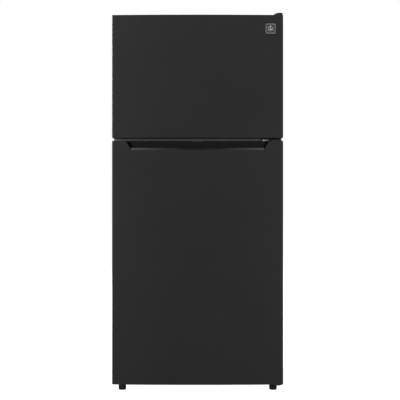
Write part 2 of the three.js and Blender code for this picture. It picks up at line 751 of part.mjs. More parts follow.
function evaporatorCover() {
  const { front, half, bottom, top } = COVER;
  const plate = box(-half, half, front, front + 4, bottom, top);
  const ledge = prismX(
    [
      [front - 14, 1420],
      [front + 1, 1412],
      [front + 1, 1432],
      [front - 14, 1432],
    ],
    -half,
    half,
  );
  const slots = [];
  for (let z = -42; z <= 42; z += 12) {
    const reach = Math.sqrt(FAN.radius ** 2 - z ** 2);
    slots.push(box(-reach, reach, front - 1, front + 5, FAN.z + z - 3, FAN.z + z + 3));
  }
  for (let x = -260; x <= 260; x += 26) {
    slots.push(box(x - 9, x + 9, front - 1, front + 5, bottom + 8, bottom + 16));
  }
  return cut(join(plate, ledge), ...slots);
}

// Fins on a serpentine tube, cut as a comb that keeps its spine.
function evaporatorCoil() {
  const block = box(-240, 240, 252, FREEZER.back - GAP, 1190, 1400);
  const gaps = [];
  for (let x = -216; x <= 216; x += 24) {
    gaps.push(box(x - 8, x + 8, 250, FREEZER.back - 8, 1180, 1410));
  }
  return cut(block, ...gaps);
}

function fanMotor() {
  const can = cylinder(Y, [0, 0, FAN.z], 26, 268, FREEZER.back - GAP, 24);
  const shaft = cylinder(Y, [0, 0, FAN.z], 2, 250, 270, 12);
  return join(can, shaft);
}

// A fan: a bored hub with flat blades set at an angle. `axis` points downstream.
function fan(axis, at, radius, hub, thick, blades) {
  const geometry = new THREE.BoxGeometry(radius - hub + 2, 1.8, radius * 0.62);
  geometry.translate((radius + hub - 2) / 2, 0, 0);
  const pitched = geometry.clone().rotateX(THREE.MathUtils.degToRad(32));
  const turn = new THREE.Quaternion().setFromUnitVectors(Y, axis);
  const place = (shape) => solid(shape.applyQuaternion(turn).translate(at[0], at[1], at[2]));
  const parts = Array.from({ length: blades }, (_, i) =>
    place(pitched.clone().rotateY((2 * Math.PI * i) / blades)),
  );
  const core = cylinder(axis, at, hub, -thick / 2, thick / 2, 20);
  return cut(join(core, ...parts), cylinder(axis, at, 2.4, -thick, thick, 12));
}

// A wire shelf: long wires on cross bars, with the front bar turned down.
function freezerShelf() {
  const half = FREEZER.half - 4;
  const rod = 4;
  const z = 1388 + GAP;
  const front = -150;
  const back = COVER.front - 18;
  const bars = [front, (front + back) / 2, back - rod].map((y) => box(-half, half, y, y + rod, z, z + rod));
  const drop = box(-half, half, front, front + rod, z + rod - 18, z + rod - 14);
  const count = 13;
  const wires = Array.from({ length: count }, (_, i) => {
    const x = (half - rod) * ((2 * i) / (count - 1) - 1);
    return join(
      box(x - rod / 2, x + rod / 2, front, back, z + rod - 1, z + 2 * rod - 1),
      box(x - rod / 2, x + rod / 2, front, front + rod, z + rod - 18, z + rod),
    );
  });
  const trimmed = pair(FREEZER.half - 10, FREEZER.half, front - 1, back, z - 20, z - GAP);
  return cut(join(...bars, drop, ...wires), ...trimmed);
}

function addFreezer() {
  const m = MATERIALS;
  add("evaporator_cover", evaporatorCover(), m.whiteTrim);
  add("evaporator_coil", evaporatorCoil(), m.aluminium);
  add("evaporator_fan_motor", fanMotor(), m.blackSteel);
  add("freezer_shelf", freezerShelf(), m.whiteTrim);
  add("evaporator_fan", fan(Y, [0, 256, FAN.z], 48, 14, 16, 5), m.matteBlack);
}

// ---------------------------------------------------------------- fridge inside
const CONTROL = { half: 140, front: -110, back: 20, bottom: 1035 };
const KNOB = { x: 62, z: 1059, radius: 17 };

function controlHousing() {
  const { half, front, back, bottom } = CONTROL;
  const top = FRIDGE.top - GAP;
  const profile = [
    [front, bottom + 8],
    [front, top],
    [back, top],
    [back, bottom + 22],
    [back - 30, bottom],
    [front + 10, bottom],
  ];
  const body = prismX(profile, -half, half);
  const lampWell = box(-half + 25, half - 25, front + 34, back - 34, bottom - 1, bottom + 20);
  const bores = [-1, 1].map((side) =>
    cylinder(Y, [side * KNOB.x, 0, KNOB.z], 3.4, front - 1, front + 12, 12),
  );
  return cut(body, lampWell, ...bores);
}

function knob(side) {
  const at = [side * KNOB.x, 0, KNOB.z];
  const face = CONTROL.front - GAP;
  const skirt = cylinder(Y, at, KNOB.radius, face - 4, face, 24);
  const core = cylinder(Y, at, 3, face - 1, face + 10, 12);
  const grip = box(at[0] - 3, at[0] + 3, face - 17, face - 3, KNOB.z - 15, KNOB.z + 15);
  return join(skirt, core, grip);
}

function airDuct() {
  const front = FRIDGE.back - 24;
  const tower = prismZ(
    [
      [-60, FRIDGE.back - GAP],
      [60, FRIDGE.back - GAP],
      [60, front + 8],
      [48, front],
      [-48, front],
      [-60, front + 8],
    ],
    345,
    1070,
  );
  const vents = [];
  for (const z of [440, 650, 700, 880, 930]) {
    vents.push(...pair(12, 44, front - 1, front + 12, z, z + 7));
  }
  return cut(tower, ...vents);
}

// A pane in a plastic frame; the frame holds it in a rebate that is open at the top.
const PANE = 4;
function shelfFrame(bottom, back) {
  const top = bottom + 15;
  return cut(
    box(-SHELF_HALF, SHELF_HALF, SHELF_FRONT, back, bottom, top),
    box(22 - SHELF_HALF, SHELF_HALF - 22, SHELF_FRONT + 22, back - 18, bottom - 1, top + 1),
    box(16 - SHELF_HALF, SHELF_HALF - 16, SHELF_FRONT + 16, back - 12, top - 2 - PANE - GAP, top + 1),
  );
}

const shelfGlass = (bottom, back) =>
  box(16.5 - SHELF_HALF, SHELF_HALF - 16.5, SHELF_FRONT + 16.5, back - 12.5, bottom + 9, bottom + 9 + PANE);

const CRISPER = { inner: 9, outer: 306, front: -170, bottom: 96, rim: 292, toe: 48, heel: 88, lip: 5 };
const SLIDER = { x: 155, half: 35, z: 312 };

function crisperCoverFrame() {
  const { bottom } = CRISPER_COVER;
  const ring = shelfFrame(bottom, 296);
  const apron = box(-SHELF_HALF, SHELF_HALF, SHELF_FRONT, SHELF_FRONT + 8, 301, bottom + 1);
  const back = CRISPER.heel;
  const ledge = CRISPER.rim - 4 - GAP;
  const hangers = [
    ...pair(312, 316, SHELF_FRONT + 7, back, 280, bottom + 1),
    ...pair(307, 313, SHELF_FRONT + 7, back, ledge - 4, ledge),
    box(-3, 3, SHELF_FRONT + 7, back, 280, bottom + 8),
    box(-8.5, 8.5, SHELF_FRONT + 7, back, ledge - 4, ledge),
    box(-8, 8, SHELF_FRONT + 15, 290, bottom, bottom + 8),
  ];
  const slots = [-1, 1].map((side) => {
    const x = side * SLIDER.x;
    const reach = SLIDER.half;
    return box(x - reach, x + reach, SHELF_FRONT - 1, SHELF_FRONT + 9, SLIDER.z - 3.5, SLIDER.z + 3.5);
  });
  const body = join(ring, apron, ...hangers);
  return cut(body, ...slots);
}

// The knob of a humidity slide: a stem in the slot and a ribbed tab in front of it.
function humiditySlider(side) {
  const start = side * SLIDER.x - 28;
  const stem = box(start - 6, start + 6, SHELF_FRONT - 2, SHELF_FRONT + 6, SLIDER.z - 3, SLIDER.z + 3);
  const tab = box(start - 12, start + 12, SHELF_FRONT - 6, SHELF_FRONT - GAP, SLIDER.z - 7, SLIDER.z + 7);
  const rib = box(start - 1.5, start + 1.5, SHELF_FRONT - 10, SHELF_FRONT - 5, SLIDER.z - 7, SLIDER.z + 7);
  return join(stem, tab, rib);
}

// A crisper: a tub with a leaning back, a rim that rides on the cover's ledges, and a front with a grip.
function crisper(side) {
  const c = CRISPER;
  const profile = (wall) => [
    [c.front + wall, c.bottom + wall],
    [c.toe - wall, c.bottom + wall],
    [c.heel - wall, c.rim + (wall ? 1 : 0)],
    [c.front + wall, c.rim + (wall ? 1 : 0)],
  ];
  const mid = (c.inner + c.outer) / 2;
  const rim = box(c.inner - c.lip, c.outer + c.lip, c.front, c.heel - 2, c.rim - 4, c.rim);
  const panel = box(c.inner - 4, c.outer + 4, c.front - 6, c.front + 1, c.bottom - 1, c.rim + 5);
  const grip = prismX(
    [[c.front - 5, 262], [c.front - 16, 272], [c.front - 16, 280], [c.front - 13, 280], [c.front - 5, 272]],
    mid - 80,
    mid + 80,
  );
  const hollow = prismX(profile(PLASTIC), c.inner + PLASTIC, c.outer - PLASTIC);
  const body = cut(join(prismX(profile(0), c.inner, c.outer), rim, panel, grip), hollow);
  return side > 0 ? body : body.mirror([1, 0, 0]);
}

function addFridge() {
  const m = MATERIALS;
  add("control_housing", controlHousing(), m.whiteTrim);
  add("freezer_control_knob", knob(-1), m.whiteTrim);
  add("fridge_control_knob", knob(1), m.whiteTrim);
  add("air_duct", airDuct(), m.whiteTrim);
  for (const [name, z] of Object.entries(SHELVES)) {
    add(`${name}_shelf_frame`, shelfFrame(z, 262), m.whiteTrim);
    add(`${name}_shelf_glass`, shelfGlass(z, 262), m.glass);
  }
  add("crisper_cover_frame", crisperCoverFrame(), m.whiteTrim);
  add("crisper_cover_glass", shelfGlass(CRISPER_COVER.bottom, 296), m.glass);
  for (const [name, side] of [["left", -1], ["right", 1]]) {
    add(`crisper_${name}`, crisper(side), m.clearPlastic);
    add(`humidity_slider_${name}`, humiditySlider(side), m.whiteTrim);
  }
}

// ---------------------------------------------------------------- machine compartment
const TRAY_TOP = BASE.tray + 3;
const COMPRESSOR = { x: 190, y: 256, radius: 74, top: 204 };
const COOLER = { x: -70, y: 256, z: 145, radius: 62 }; // the condenser fan's centre

function compressor() {
  const { x, y, radius, top } = COMPRESSOR;
  const dome = Array.from({ length: 6 }, (_, i) => {
    const angle = (Math.PI / 2) * (i / 5);
    return [radius * Math.cos(angle), top - 46 + 46 * Math.sin(angle)];
  });
  dome[5][0] = 0;
  const can = turned(Z, [x, y, 0], [[0, 50], [radius - 14, 50], [radius - 3, 62], [radius, 80], ...dome], 28);
  const plate = prismZ(rounded(x - 100, x + 100, y - 62, y + 62, 12, 2), 47, 51);
  const feet = [-1, 1].flatMap((sx) =>
    [-1, 1].map((sy) => cylinder(Z, [x + 84 * sx, y + 46 * sy, 0], 11, TRAY_TOP + GAP, 48, 12)),
  );
  const terminal = box(x - 30, x + 30, y + radius - 12, y + radius + 24, 90, 146);
  return join(can, plate, ...feet, terminal);
}

function condenser() {
  const block = box(-316, -140, 196, 316, TRAY_TOP + GAP, 232);
  const gaps = [];
  for (let y = 206; y <= 306; y += 14.2) {
    gaps.push(box(-350, -130, y - 5, y + 5, 56, 250));
  }
  const spine = box(-236, -220, 196, 316, TRAY_TOP + GAP, 232);
  return join(cut(block, ...gaps), spine);
}

function condenserFanMotor() {
  const { x, y, z, radius } = COOLER;
  const shroud = cut(
    box(x - 34, x - 31, 186, 326, TRAY_TOP + GAP, 232),
    cylinder(X, [0, y, z], radius + 6, x - 40, x - 25, 28),
  );
  const can = cylinder(X, [0, y, z], 28, x + 18, x + 58, 24);
  const shaft = cylinder(X, [0, y, z], 2, x - 6, x + 20, 12);
  const post = box(x + 26, x + 50, y - 12, y + 12, TRAY_TOP + GAP, z - 18);
  const strap = box(x - 34, x + 50, y - 12, y + 12, TRAY_TOP + GAP, TRAY_TOP + 3);
  return join(shroud, can, shaft, post, strap);
}

const drainPan = () =>
  join(
    tray(70, 330, 172, 340, 218, 242, PLASTIC),
    cut(box(66, 334, 168, 344, 239, 242), box(72, 328, 174, 338, 230, 250)),
  );

// The rear cover of the machine compartment: louvred, with a round cable opening near its right edge.
function machineCover() {
  const half = CABINET_HALF - 4;
  const y0 = CABINET_BACK + GAP;
  const plate = box(-half, half, y0, y0 + 1.5, 38, MACHINE.roof + 14);
  const hoods = [];
  const slots = [];
  for (const x of [-310, -120, 70]) {
    for (let z = 86; z <= 236; z += 30) {
      const hood = [[y0 + 1, z], [BACK, z - 2], [BACK, z + 2], [y0 + 1, z + 14]];
      hoods.push(prismX(hood, x, x + 160));
      slots.push(box(x + 3, x + 157, y0 - 1, BACK - 1, z + 1, z + 5));
    }
  }
  const gland = cylinder(Y, [330, 0, 80], 9, y0 - 1, BACK + 1, 16);
  const rim = cylinder(Y, [330, 0, 80], 13, y0 + 1, y0 + 3.5, 16);
  return cut(join(plate, ...hoods, rim), ...slots, gland);
}

function addMachineRoom() {
  const m = MATERIALS;
  const { x, y, z, radius } = COOLER;
  add("compressor", compressor(), m.blackSteel);
  add("condenser", condenser(), m.blackSteel);
  add("condenser_fan_motor", condenserFanMotor(), m.zinc);
  add("condenser_fan", fan(X, [x, y, z], radius, 17, 20, 5), m.matteBlack);
  add("drain_pan", drainPan(), m.matteBlack);
  add("machine_cover", machineCover(), m.zinc);
}

// ---------------------------------------------------------------- feet and rollers
function foot(side) {
  const { radius, stem } = FOOT;
  const shoulder = CABINET_BOTTOM - 2;
  const profile = [
    [0, 0],
    [radius - 2.5, 0],
    [radius - 0.5, 2],
    [radius, 4],
    [radius, shoulder - 1],
    [radius - 1, shoulder],
    [stem, shoulder],
    [stem, 66],
    [stem - 1, 67],
    [0, 67],
  ];
  return turned(Z, [side * FOOT.x, FOOT.y, 0], profile, 24);
}

function roller(side) {
  const { x, y, radius, wide, axle } = ROLLER;
  const profile = [
    [axle + 0.4, -wide / 2],
    [radius - 1.5, -wide / 2],
    [radius, 1.5 - wide / 2],
    [radius, wide / 2 - 1.5],
    [radius - 1.5, wide / 2],
    [axle + 0.4, wide / 2],
    [axle + 0.4, -wide / 2],
  ];
  return turned(X, [side * x, y, radius], profile, 28);
}

function addFeet() {
  for (const [name, side] of [["left", -1], ["right", 1]]) {
    add(`front_foot_${name}`, foot(side), MATERIALS.matteBlack);
    add(`rear_roller_${name}`, roller(side), MATERIALS.matteBlack);
  }
}

addCabinet();
addHinges();
addDoors();
addFreezer();
addFridge();
addMachineRoom();
addFeet();

export default root;
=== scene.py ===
"""A black top freezer refrigerator on a pale studio floor. +X is right, -Y out of the doors, +Z up.
Pieces are drawn in millimetres and scaled to metres when they are made. The studio is in metres."""
import json
import math

import bmesh
import bpy
from mathutils import Matrix, Vector

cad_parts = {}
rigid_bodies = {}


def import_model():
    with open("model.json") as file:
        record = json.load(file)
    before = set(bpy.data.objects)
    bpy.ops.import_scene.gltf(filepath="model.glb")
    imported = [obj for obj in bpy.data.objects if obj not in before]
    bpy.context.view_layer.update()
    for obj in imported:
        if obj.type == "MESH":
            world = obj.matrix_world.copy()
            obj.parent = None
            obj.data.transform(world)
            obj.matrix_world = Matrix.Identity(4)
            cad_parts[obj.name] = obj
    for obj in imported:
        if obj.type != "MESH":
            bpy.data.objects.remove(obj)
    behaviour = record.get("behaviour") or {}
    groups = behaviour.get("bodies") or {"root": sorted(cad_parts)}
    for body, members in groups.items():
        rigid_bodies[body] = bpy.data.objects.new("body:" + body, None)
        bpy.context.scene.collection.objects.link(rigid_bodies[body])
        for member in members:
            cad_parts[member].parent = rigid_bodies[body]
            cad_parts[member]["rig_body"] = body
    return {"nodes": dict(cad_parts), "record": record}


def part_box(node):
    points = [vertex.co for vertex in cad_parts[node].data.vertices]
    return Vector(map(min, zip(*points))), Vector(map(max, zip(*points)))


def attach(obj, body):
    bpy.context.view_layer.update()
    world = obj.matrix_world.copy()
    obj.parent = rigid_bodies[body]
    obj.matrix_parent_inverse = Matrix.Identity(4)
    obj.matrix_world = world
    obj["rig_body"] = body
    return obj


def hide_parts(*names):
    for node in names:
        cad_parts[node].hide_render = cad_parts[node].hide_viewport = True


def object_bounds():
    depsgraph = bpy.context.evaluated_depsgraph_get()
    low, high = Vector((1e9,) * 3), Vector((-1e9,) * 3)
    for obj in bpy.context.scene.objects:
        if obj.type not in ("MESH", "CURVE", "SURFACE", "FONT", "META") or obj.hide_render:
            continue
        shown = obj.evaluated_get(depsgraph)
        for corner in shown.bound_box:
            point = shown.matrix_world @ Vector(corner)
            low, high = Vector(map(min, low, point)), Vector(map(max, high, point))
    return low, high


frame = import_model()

MM = 0.001
SIDES = (-1, 1)
CAD_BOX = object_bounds()
NODES = frame["nodes"]
SLOT_OF = {part["node"]: part["material_slot"] for part in frame["record"]["subparts"]}

# The doors' skins: depth of the crown, radii of the sides, of the corners at the gap and of the rolled edges,
# and how far the hem goes round the back.
CROWN = 8
DOOR_RADIUS = 6
CORNER = 4.5
ROLL = 1.3
HEM = 15
# The trapezoid pocket in the fridge door's top: depth, half its width at the bottom and at the top, and its tab.
POCKET_DEEP = 41
POCKET_LOW, POCKET_HIGH = 291.5, 316.6
TAB_HALF, TAB_DROP = 25, 4
# Planes of the cabinet's front flange and back, radius of the liners' corners, middle of the compressor.
CABINET_FRONT, CABINET_BACK = -286, 361
LINER_RADIUS = 14
COMPRESSOR_AT = (190, 256)

# Section of a fan's blade, in shares of its width and of its thickness.
BLADE = ((-0.5, 0), (-0.3, 0.5), (0, 0.62), (0.3, 0.5), (0.5, 0), (0.3, -0.3), (0, -0.35), (-0.3, -0.3))

# Points closer than this many metres are one, and edges sharper than this many degrees are eased.
SAME_PLACE = 1e-6
HARD_EDGE = 32
# The smallest corner radius. A tub's walls longer than LONG_WALL are cut into WALL_PARTS.
TINY = 0.01
LONG_WALL, WALL_PARTS = 25, 10

# The camera: focal length in millimetres for a 36 mm sensor, and place.
LENS = 81.612
CAMERA_AT = (0.0107, -4.357, 0.8546)
# How bright the studio is at its left and right, and how much of that is left behind and above the fridge.
WORLD_SIDES = (0.58, 0.46)
WORLD_BEHIND = 0.06
WORLD_ABOVE = 0.08
FLOOR_GLOW = 0.42
FLOOR_RADIUS = 30.0


# ---- materials
def add_node(tree, kind, **settings):
    """A new shader node, adjusted."""
    return adjust(tree, tree.nodes.new("ShaderNode" + kind), **settings)


def adjust(tree, node, **settings):
    """Links a node's socket to a setting that is a source, and sets any other socket or property."""
    for key, value in settings.items():
        socket = key.replace("_", " ")
        if isinstance(value, bpy.types.NodeSocket):
            tree.links.new(value, node.inputs[socket])
        elif socket in node.inputs:
            node.inputs[socket].default_value = value
        else:
            setattr(node, key, value)
    return node


def ramp(tree, source, low, high, start=0.35, end=0.65):
    """Maps the stretch start..end of `source` onto low..high."""
    span = {"From_Min": start, "From_Max": end, "To_Min": low, "To_Max": high}
    return add_node(tree, "MapRange", Value=source, **span).outputs["Result"]


class Recipe:
    """A Principled material whose colour, roughness and bump come from textures in the object's own space.
    The sizes and depths of textures are in millimetres."""

    def __init__(self, name, **sockets):
        self.material = bpy.data.materials.new(name)
        self.material.use_nodes = True
        self.tree = self.material.node_tree
        self.shader = adjust(self.tree, self.tree.nodes["Principled BSDF"], **sockets)
        self.coords = self.node("TexCoord").outputs["Object"]
        self.relief = None

    def node(self, kind, **settings):
        return add_node(self.tree, kind, **settings)

    def noise(self, size, detail, stretch=(1, 1, 1)):
        place = self.node("Mapping", Vector=self.coords, Scale=stretch).outputs["Vector"]
        return self.node("TexNoise", Vector=place, Scale=1 / (size * MM), Detail=detail).outputs["Fac"]

    def cells(self, size, feature="F1", output="Distance"):
        made = self.node("TexVoronoi", feature=feature, Vector=self.coords, Scale=1 / (size * MM))
        return made.outputs[output]

    def wave(self, size, axis):
        made = self.node("TexWave", bands_direction=axis, Vector=self.coords, Scale=1 / (size * MM))
        return made.outputs["Fac"]

    def texture(self, first, *more):
        """Noise, unless the first word names another kind."""
        kinds = {"cells": self.cells, "wave": self.wave}
        return kinds[first](*more) if first in kinds else self.noise(first, *more)

    def tint(self, source, first, second, start=0.35, end=0.65):
        """Base colour that goes from first to second with `source`. A single number is a grey."""
        mix = self.node("Mix", data_type="RGBA")
        for socket, colour in ((6, first), (7, second)):
            colour = colour if isinstance(colour, tuple) else (colour,) * 3
            mix.inputs[socket].default_value = (*colour, 1)
        self.tree.links.new(ramp(self.tree, source, 0, 1, start, end), mix.inputs[0])
        adjust(self.tree, self.shader, Base_Color=mix.outputs[2])

    def rough(self, source, low, high, start=0.35, end=0.65):
        adjust(self.tree, self.shader, Roughness=ramp(self.tree, source, low, high, start, end))

    def bump(self, source, depth):
        """Adds relief of that depth on top of what is there."""
        made = self.node("Bump", Strength=1.0, Distance=depth * MM, Height=ramp(self.tree, source, 0, 1, 0, 1))
        if self.relief:
            adjust(self.tree, made, Normal=self.relief)
        self.relief = made.outputs["Normal"]
        adjust(self.tree, self.shader, Normal=self.relief)


def glossy(ior, level=0.5):
    return {"IOR": ior, "Specular_IOR_Level": level}


METAL = {"Metallic": 1.0}
# name: fixed sockets, texture and colours, texture and roughnesses, then a texture and a depth for each relief.
# A texture is a size in millimetres and the detail of its noise, or else its kind, its size and its settings.
FINISHES = {
    "door_steel": (glossy(1.42, 0.40), (220, 4), (0.0095, 0.0110), (50, 6), (0.42, 0.45),
                   ("cells", 1.6, "SMOOTH_F1"), 0.05, (0.9, 2), 0.02),
    "cabinet_steel": (glossy(1.42, 0.45), (180, 4), (0.0126, 0.0140), (40, 6), (0.47, 0.51),
                      ("cells", 2.2, "SMOOTH_F1"), 0.10, (1.2, 2), 0.03),
    "rail_steel": (glossy(1.45), (60, 4), (0.12, 0.14), (30, 5), (0.40, 0.52), (1, 2), 0.02),
    "black_steel": (glossy(1.5), (30, 6), (0.016, 0.024), (12, 6), (0.32, 0.5), (1.5, 4), 0.03),
    "gloss_black": (glossy(1.46, 0.22), (50, 4), (0.0030, 0.0042), (20, 6), (0.24, 0.27), (4, 2), 0.01),
    "matte_black": (glossy(1.46, 0.28), (30, 5), (0.007, 0.010), (10, 6), (0.66, 0.71), (0.5, 3), 0.04),
    # Near-black finish with almost no reflection, used for the painted shade in the pocket's slanted ends.
    "painted_shade_black": (glossy(1.4, 0.04), (4, 5), (0.0010, 0.0020), (3, 5), (0.85, 0.95), (0.5, 3), 0.08),
    "gasket_rubber": (glossy(1.5), (20, 6), (0.024, 0.029), (6, 5), (0.66, 0.74), (0.8, 4), 0.05),
    "liner_white": (glossy(1.5), (250, 3), ((0.86, 0.87, 0.87), (0.89, 0.895, 0.895)), (60, 4), (0.30, 0.36),
                    (26, 2), 0.05, (0.9, 2), 0.008),
    "trim_white": (glossy(1.48), (120, 5), ((0.74, 0.76, 0.775), (0.79, 0.805, 0.815)), (20, 6), (0.34, 0.46),
                   (0.6, 3), 0.025),
    "clear_plastic": ({"IOR": 1.49, "Transmission_Weight": 0.80}, (80, 4),
                      ((0.93, 0.965, 0.975), (0.97, 0.985, 0.99)), (15, 6), (0.05, 0.13), (12, 2), 0.04),
    "shelf_glass": ({"IOR": 1.52, "Transmission_Weight": 1.0}, (200, 4),
                    ((0.90, 0.97, 0.95), (0.94, 0.985, 0.97)), (30, 7), (0.015, 0.05)),
    "zinc_steel": (METAL, ("cells", 14, "F1", "Color"), (0.45, 0.54, 0.1, 0.9),
                   ("cells", 14, "F1", "Color"), (0.38, 0.48, 0.1, 0.9), (2, 4), 0.02),
    "aluminium": (METAL, (20, 5), (0.60, 0.72), (4, 6, (1, 0.2, 1)), (0.30, 0.45), (0.5, 3, (1, 0.1, 1)), 0.01),
    "badge_metal": (METAL, (3, 4, (0.1, 1, 1)), (0.30, 0.42), (0.4, 4, (0.05, 1, 1)), (0.26, 0.40),
                    (0.25, 2, (0.03, 1, 1)), 0.006),
    "copper": (METAL, (30, 6), ((0.42, 0.18, 0.09), (0.62, 0.29, 0.16)), (8, 5), (0.28, 0.5), (3, 3), 0.02),
    "foam": (glossy(1.3), (20, 6), ((0.66, 0.52, 0.24), (0.78, 0.66, 0.38)), (10, 4), (0.85, 0.97),
             ("cells", 1.2), 0.3),
    "lamp_lens": ({"IOR": 1.49, "Transmission_Weight": 0.5}, (30, 3), ((0.90, 0.91, 0.90), (0.95, 0.95, 0.94)),
                  (10, 4), (0.35, 0.5), ("wave", 4, "X"), 0.3),
    "badge_enamel": (glossy(1.5), (6, 4), (0.035, 0.05), (2, 5), (0.25, 0.38), (0.4, 3), 0.01),
    "bright_zinc": (METAL, (3, 5), (0.62, 0.78), (1.5, 5), (0.26, 0.42), (0.5, 3), 0.01),
    "print_ink": (glossy(1.45), (2, 4), (0.07, 0.10), (1, 4), (0.5, 0.65)),
}


def finished(name, fixed, tint_texture, colours, rough_texture, roughnesses, *reliefs):
    recipe = Recipe(name, **fixed)
    recipe.tint(recipe.texture(*tint_texture), *colours)
    recipe.rough(recipe.texture(*rough_texture), *roughnesses)
    for texture, depth in zip(reliefs[::2], reliefs[1::2]):
        recipe.bump(recipe.texture(*texture), depth)
    return recipe.material


PAINT = {name: finished(name, *finish) for name, finish in FINISHES.items()}


# ---- meshes
def box(node):
    """Lowest and highest corner of a CAD node, in millimetres."""
    return [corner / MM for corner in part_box(node)]


def link(made):
    bpy.context.scene.collection.objects.link(made)
    return made


def weigh_normals(made):
    """Keeps broad faces flat where they meet eased edges."""
    weigh = made.modifiers.new("weigh", "WEIGHTED_NORMAL")
    weigh.keep_sharp = True
    weigh.weight = 80


def piece(name, bm, paint, body, smooth=40):
    """A new piece from a bmesh in millimetres: painted, smoothed below that angle, riding on a CAD body."""
    bmesh.ops.scale(bm, vec=(MM, MM, MM), verts=bm.verts)
    bmesh.ops.remove_doubles(bm, verts=bm.verts, dist=SAME_PLACE)
    bmesh.ops.recalc_face_normals(bm, faces=bm.faces)
    mesh = bpy.data.meshes.new(name)
    bm.to_mesh(mesh)
    bm.free()
    mesh.materials.append(PAINT[paint])
    mesh.shade_smooth()
    mesh.set_sharp_from_angle(angle=math.radians(smooth))
    made = link(bpy.data.objects.new(name, mesh))
    weigh_normals(made)
    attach(made, body)
    return made


def stand_in(name, bm, paint, node, smooth=50):
    """A detailed piece in place of a CAD node."""
    made = piece(name, bm, paint, NODES[node]["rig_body"], smooth)
    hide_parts(node)


def carry(node, paint, width=0.8, segments=2):
    """A CAD node that keeps its shape: painted, with its hard edges eased."""
    made = NODES[node]
    made.data.materials.clear()
    made.data.materials.append(PAINT[paint])
    made.data.shade_smooth()
    weld = made.modifiers.new("weld", "WELD")
    weld.merge_threshold = SAME_PLACE
    edge = made.modifiers.new("edge", "BEVEL")
    edge.width = width * MM
    edge.segments = segments
    edge.limit_method = "ANGLE"
    edge.angle_limit = math.radians(HARD_EDGE)
    weigh_normals(made)


def loft(bm, rings, closed=True, cap_first=False, cap_last=False):
    """Quads between rings of equally many points. Each ring is a list of Vectors."""
    rows = [[bm.verts.new(point) for point in ring] for ring in rings]
    for low, high in zip(rows, rows[1:]):
        count = len(low)
        for i in range(count if closed else count - 1):
            j = (i + 1) % count
            bm.faces.new((low[i], low[j], high[j], high[i]))
    if cap_first:
        bm.faces.new(rows[0])
    if cap_last:
        bm.faces.new(rows[-1])


def solid(bm, rings):
    """A loft that is closed at both ends."""
    loft(bm, rings, cap_first=True, cap_last=True)


def spread(start, end, count):
    """That many evenly spaced values, with both ends."""
    return [start + (end - start) * i / (count - 1) for i in range(count)]


def arc(steps, start, end):
    """Pairs of cosine and sine over that span of degrees."""
    return [(math.cos(math.radians(a)), math.sin(math.radians(a))) for a in spread(start, end, steps + 1)]


def circle(steps):
    return arc(steps, 0, 360)[:-1]


def round_rect(u0, u1, v0, v1, radius, steps=5):
    """Counterclockwise outline of a rectangle with round corners."""
    radius = max(min(radius, (u1 - u0) / 2 - TINY, (v1 - v0) / 2 - TINY), TINY)
    corners = ((u1 - radius, v0 + radius, -90), (u1 - radius, v1 - radius, 0),
               (u0 + radius, v1 - radius, 90), (u0 + radius, v0 + radius, 180))
    return [(u + radius * c, v + radius * s) for u, v, at in corners for c, s in arc(steps, at, at + 90)]


def soften(points, radius, steps=4):
    """A path with its inner corners rounded. Works in two and in three dimensions."""
    points = [Vector(point) for point in points]
    path = [points[0]]
    for before, corner, after in zip(points, points[1:], points[2:]):
        back, ahead = before - corner, after - corner
        reach = min(radius, back.length * 0.48, ahead.length * 0.48)
        start, end = corner + back.normalized() * reach, corner + ahead.normalized() * reach
        for t in spread(0, 1, steps + 1):
            path.append(start * (1 - t) ** 2 + corner * (2 * t * (1 - t)) + end * t ** 2)
    return [*path, points[-1]]


def upright(rect, y, radius, steps=5):
    """Outline of a round rectangle (x0, x1, z0, z1) standing in the plane at y."""
    return [Vector((u, y, v)) for u, v in round_rect(*rect, radius, steps)]


def grown(rect, by):
    return (rect[0] - by, rect[1] + by, rect[2] - by, rect[3] + by)


def turn_to(axis):
    """The rotation that brings +Z to `axis`."""
    return Vector((0, 0, 1)).rotation_difference(Vector(axis)).to_matrix()


def lathe(bm, centre, axis, profile, segments=48):
    """A turned form. Profile points are (radius, height along axis)."""
    turn = turn_to(axis)
    solid(bm, [[Vector(centre) + turn @ Vector((radius * c, radius * s, height)) for c, s in circle(segments)]
               for radius, height in profile])


def slab(bm, axis, rect, start, end, radius, ease=0.5, steps=4):
    """A plate with round corners and eased rims. Its rectangle lies across `axis`."""
    place = {"X": lambda u, v, w: (w, u, v), "Y": lambda u, v, w: (u, w, v), "Z": lambda u, v, w: (u, v, w)}[axis]
    way = 1 if end > start else -1
    rings = []
    for at, inset in ((start, ease), (start + 0.3 * way * ease, 0.3 * ease), (start + way * ease, 0),
                      (end - way * ease, 0), (end - 0.3 * way * ease, 0.3 * ease), (end, ease)):
        outline = round_rect(*grown(rect, -inset), max(radius - inset, 0.1), steps)
        rings.append([Vector(place(u, v, at)) for u, v in outline])
    solid(bm, rings)


def tube(bm, path, radius, segments=8):
    """A round wire or pipe along a path."""
    path = [Vector(point) for point in path]
    side = (path[1] - path[0]).orthogonal().normalized()
    rings = []
    for i, at in enumerate(path):
        along = (path[min(i + 1, len(path) - 1)] - path[max(i - 1, 0)]).normalized()
        side = (side - along * side.dot(along)).normalized()
        other = along.cross(side)
        rings.append([at + side * radius * c + other * radius * s for c, s in circle(segments)])
    solid(bm, rings)


def serpentine(left, right, y, heights):
    """Corners of a path that runs to and fro between left and right, one run at each height."""
    return [(x, y, z) for row, z in enumerate(heights) for x in ((right, left) if row % 2 else (left, right))]


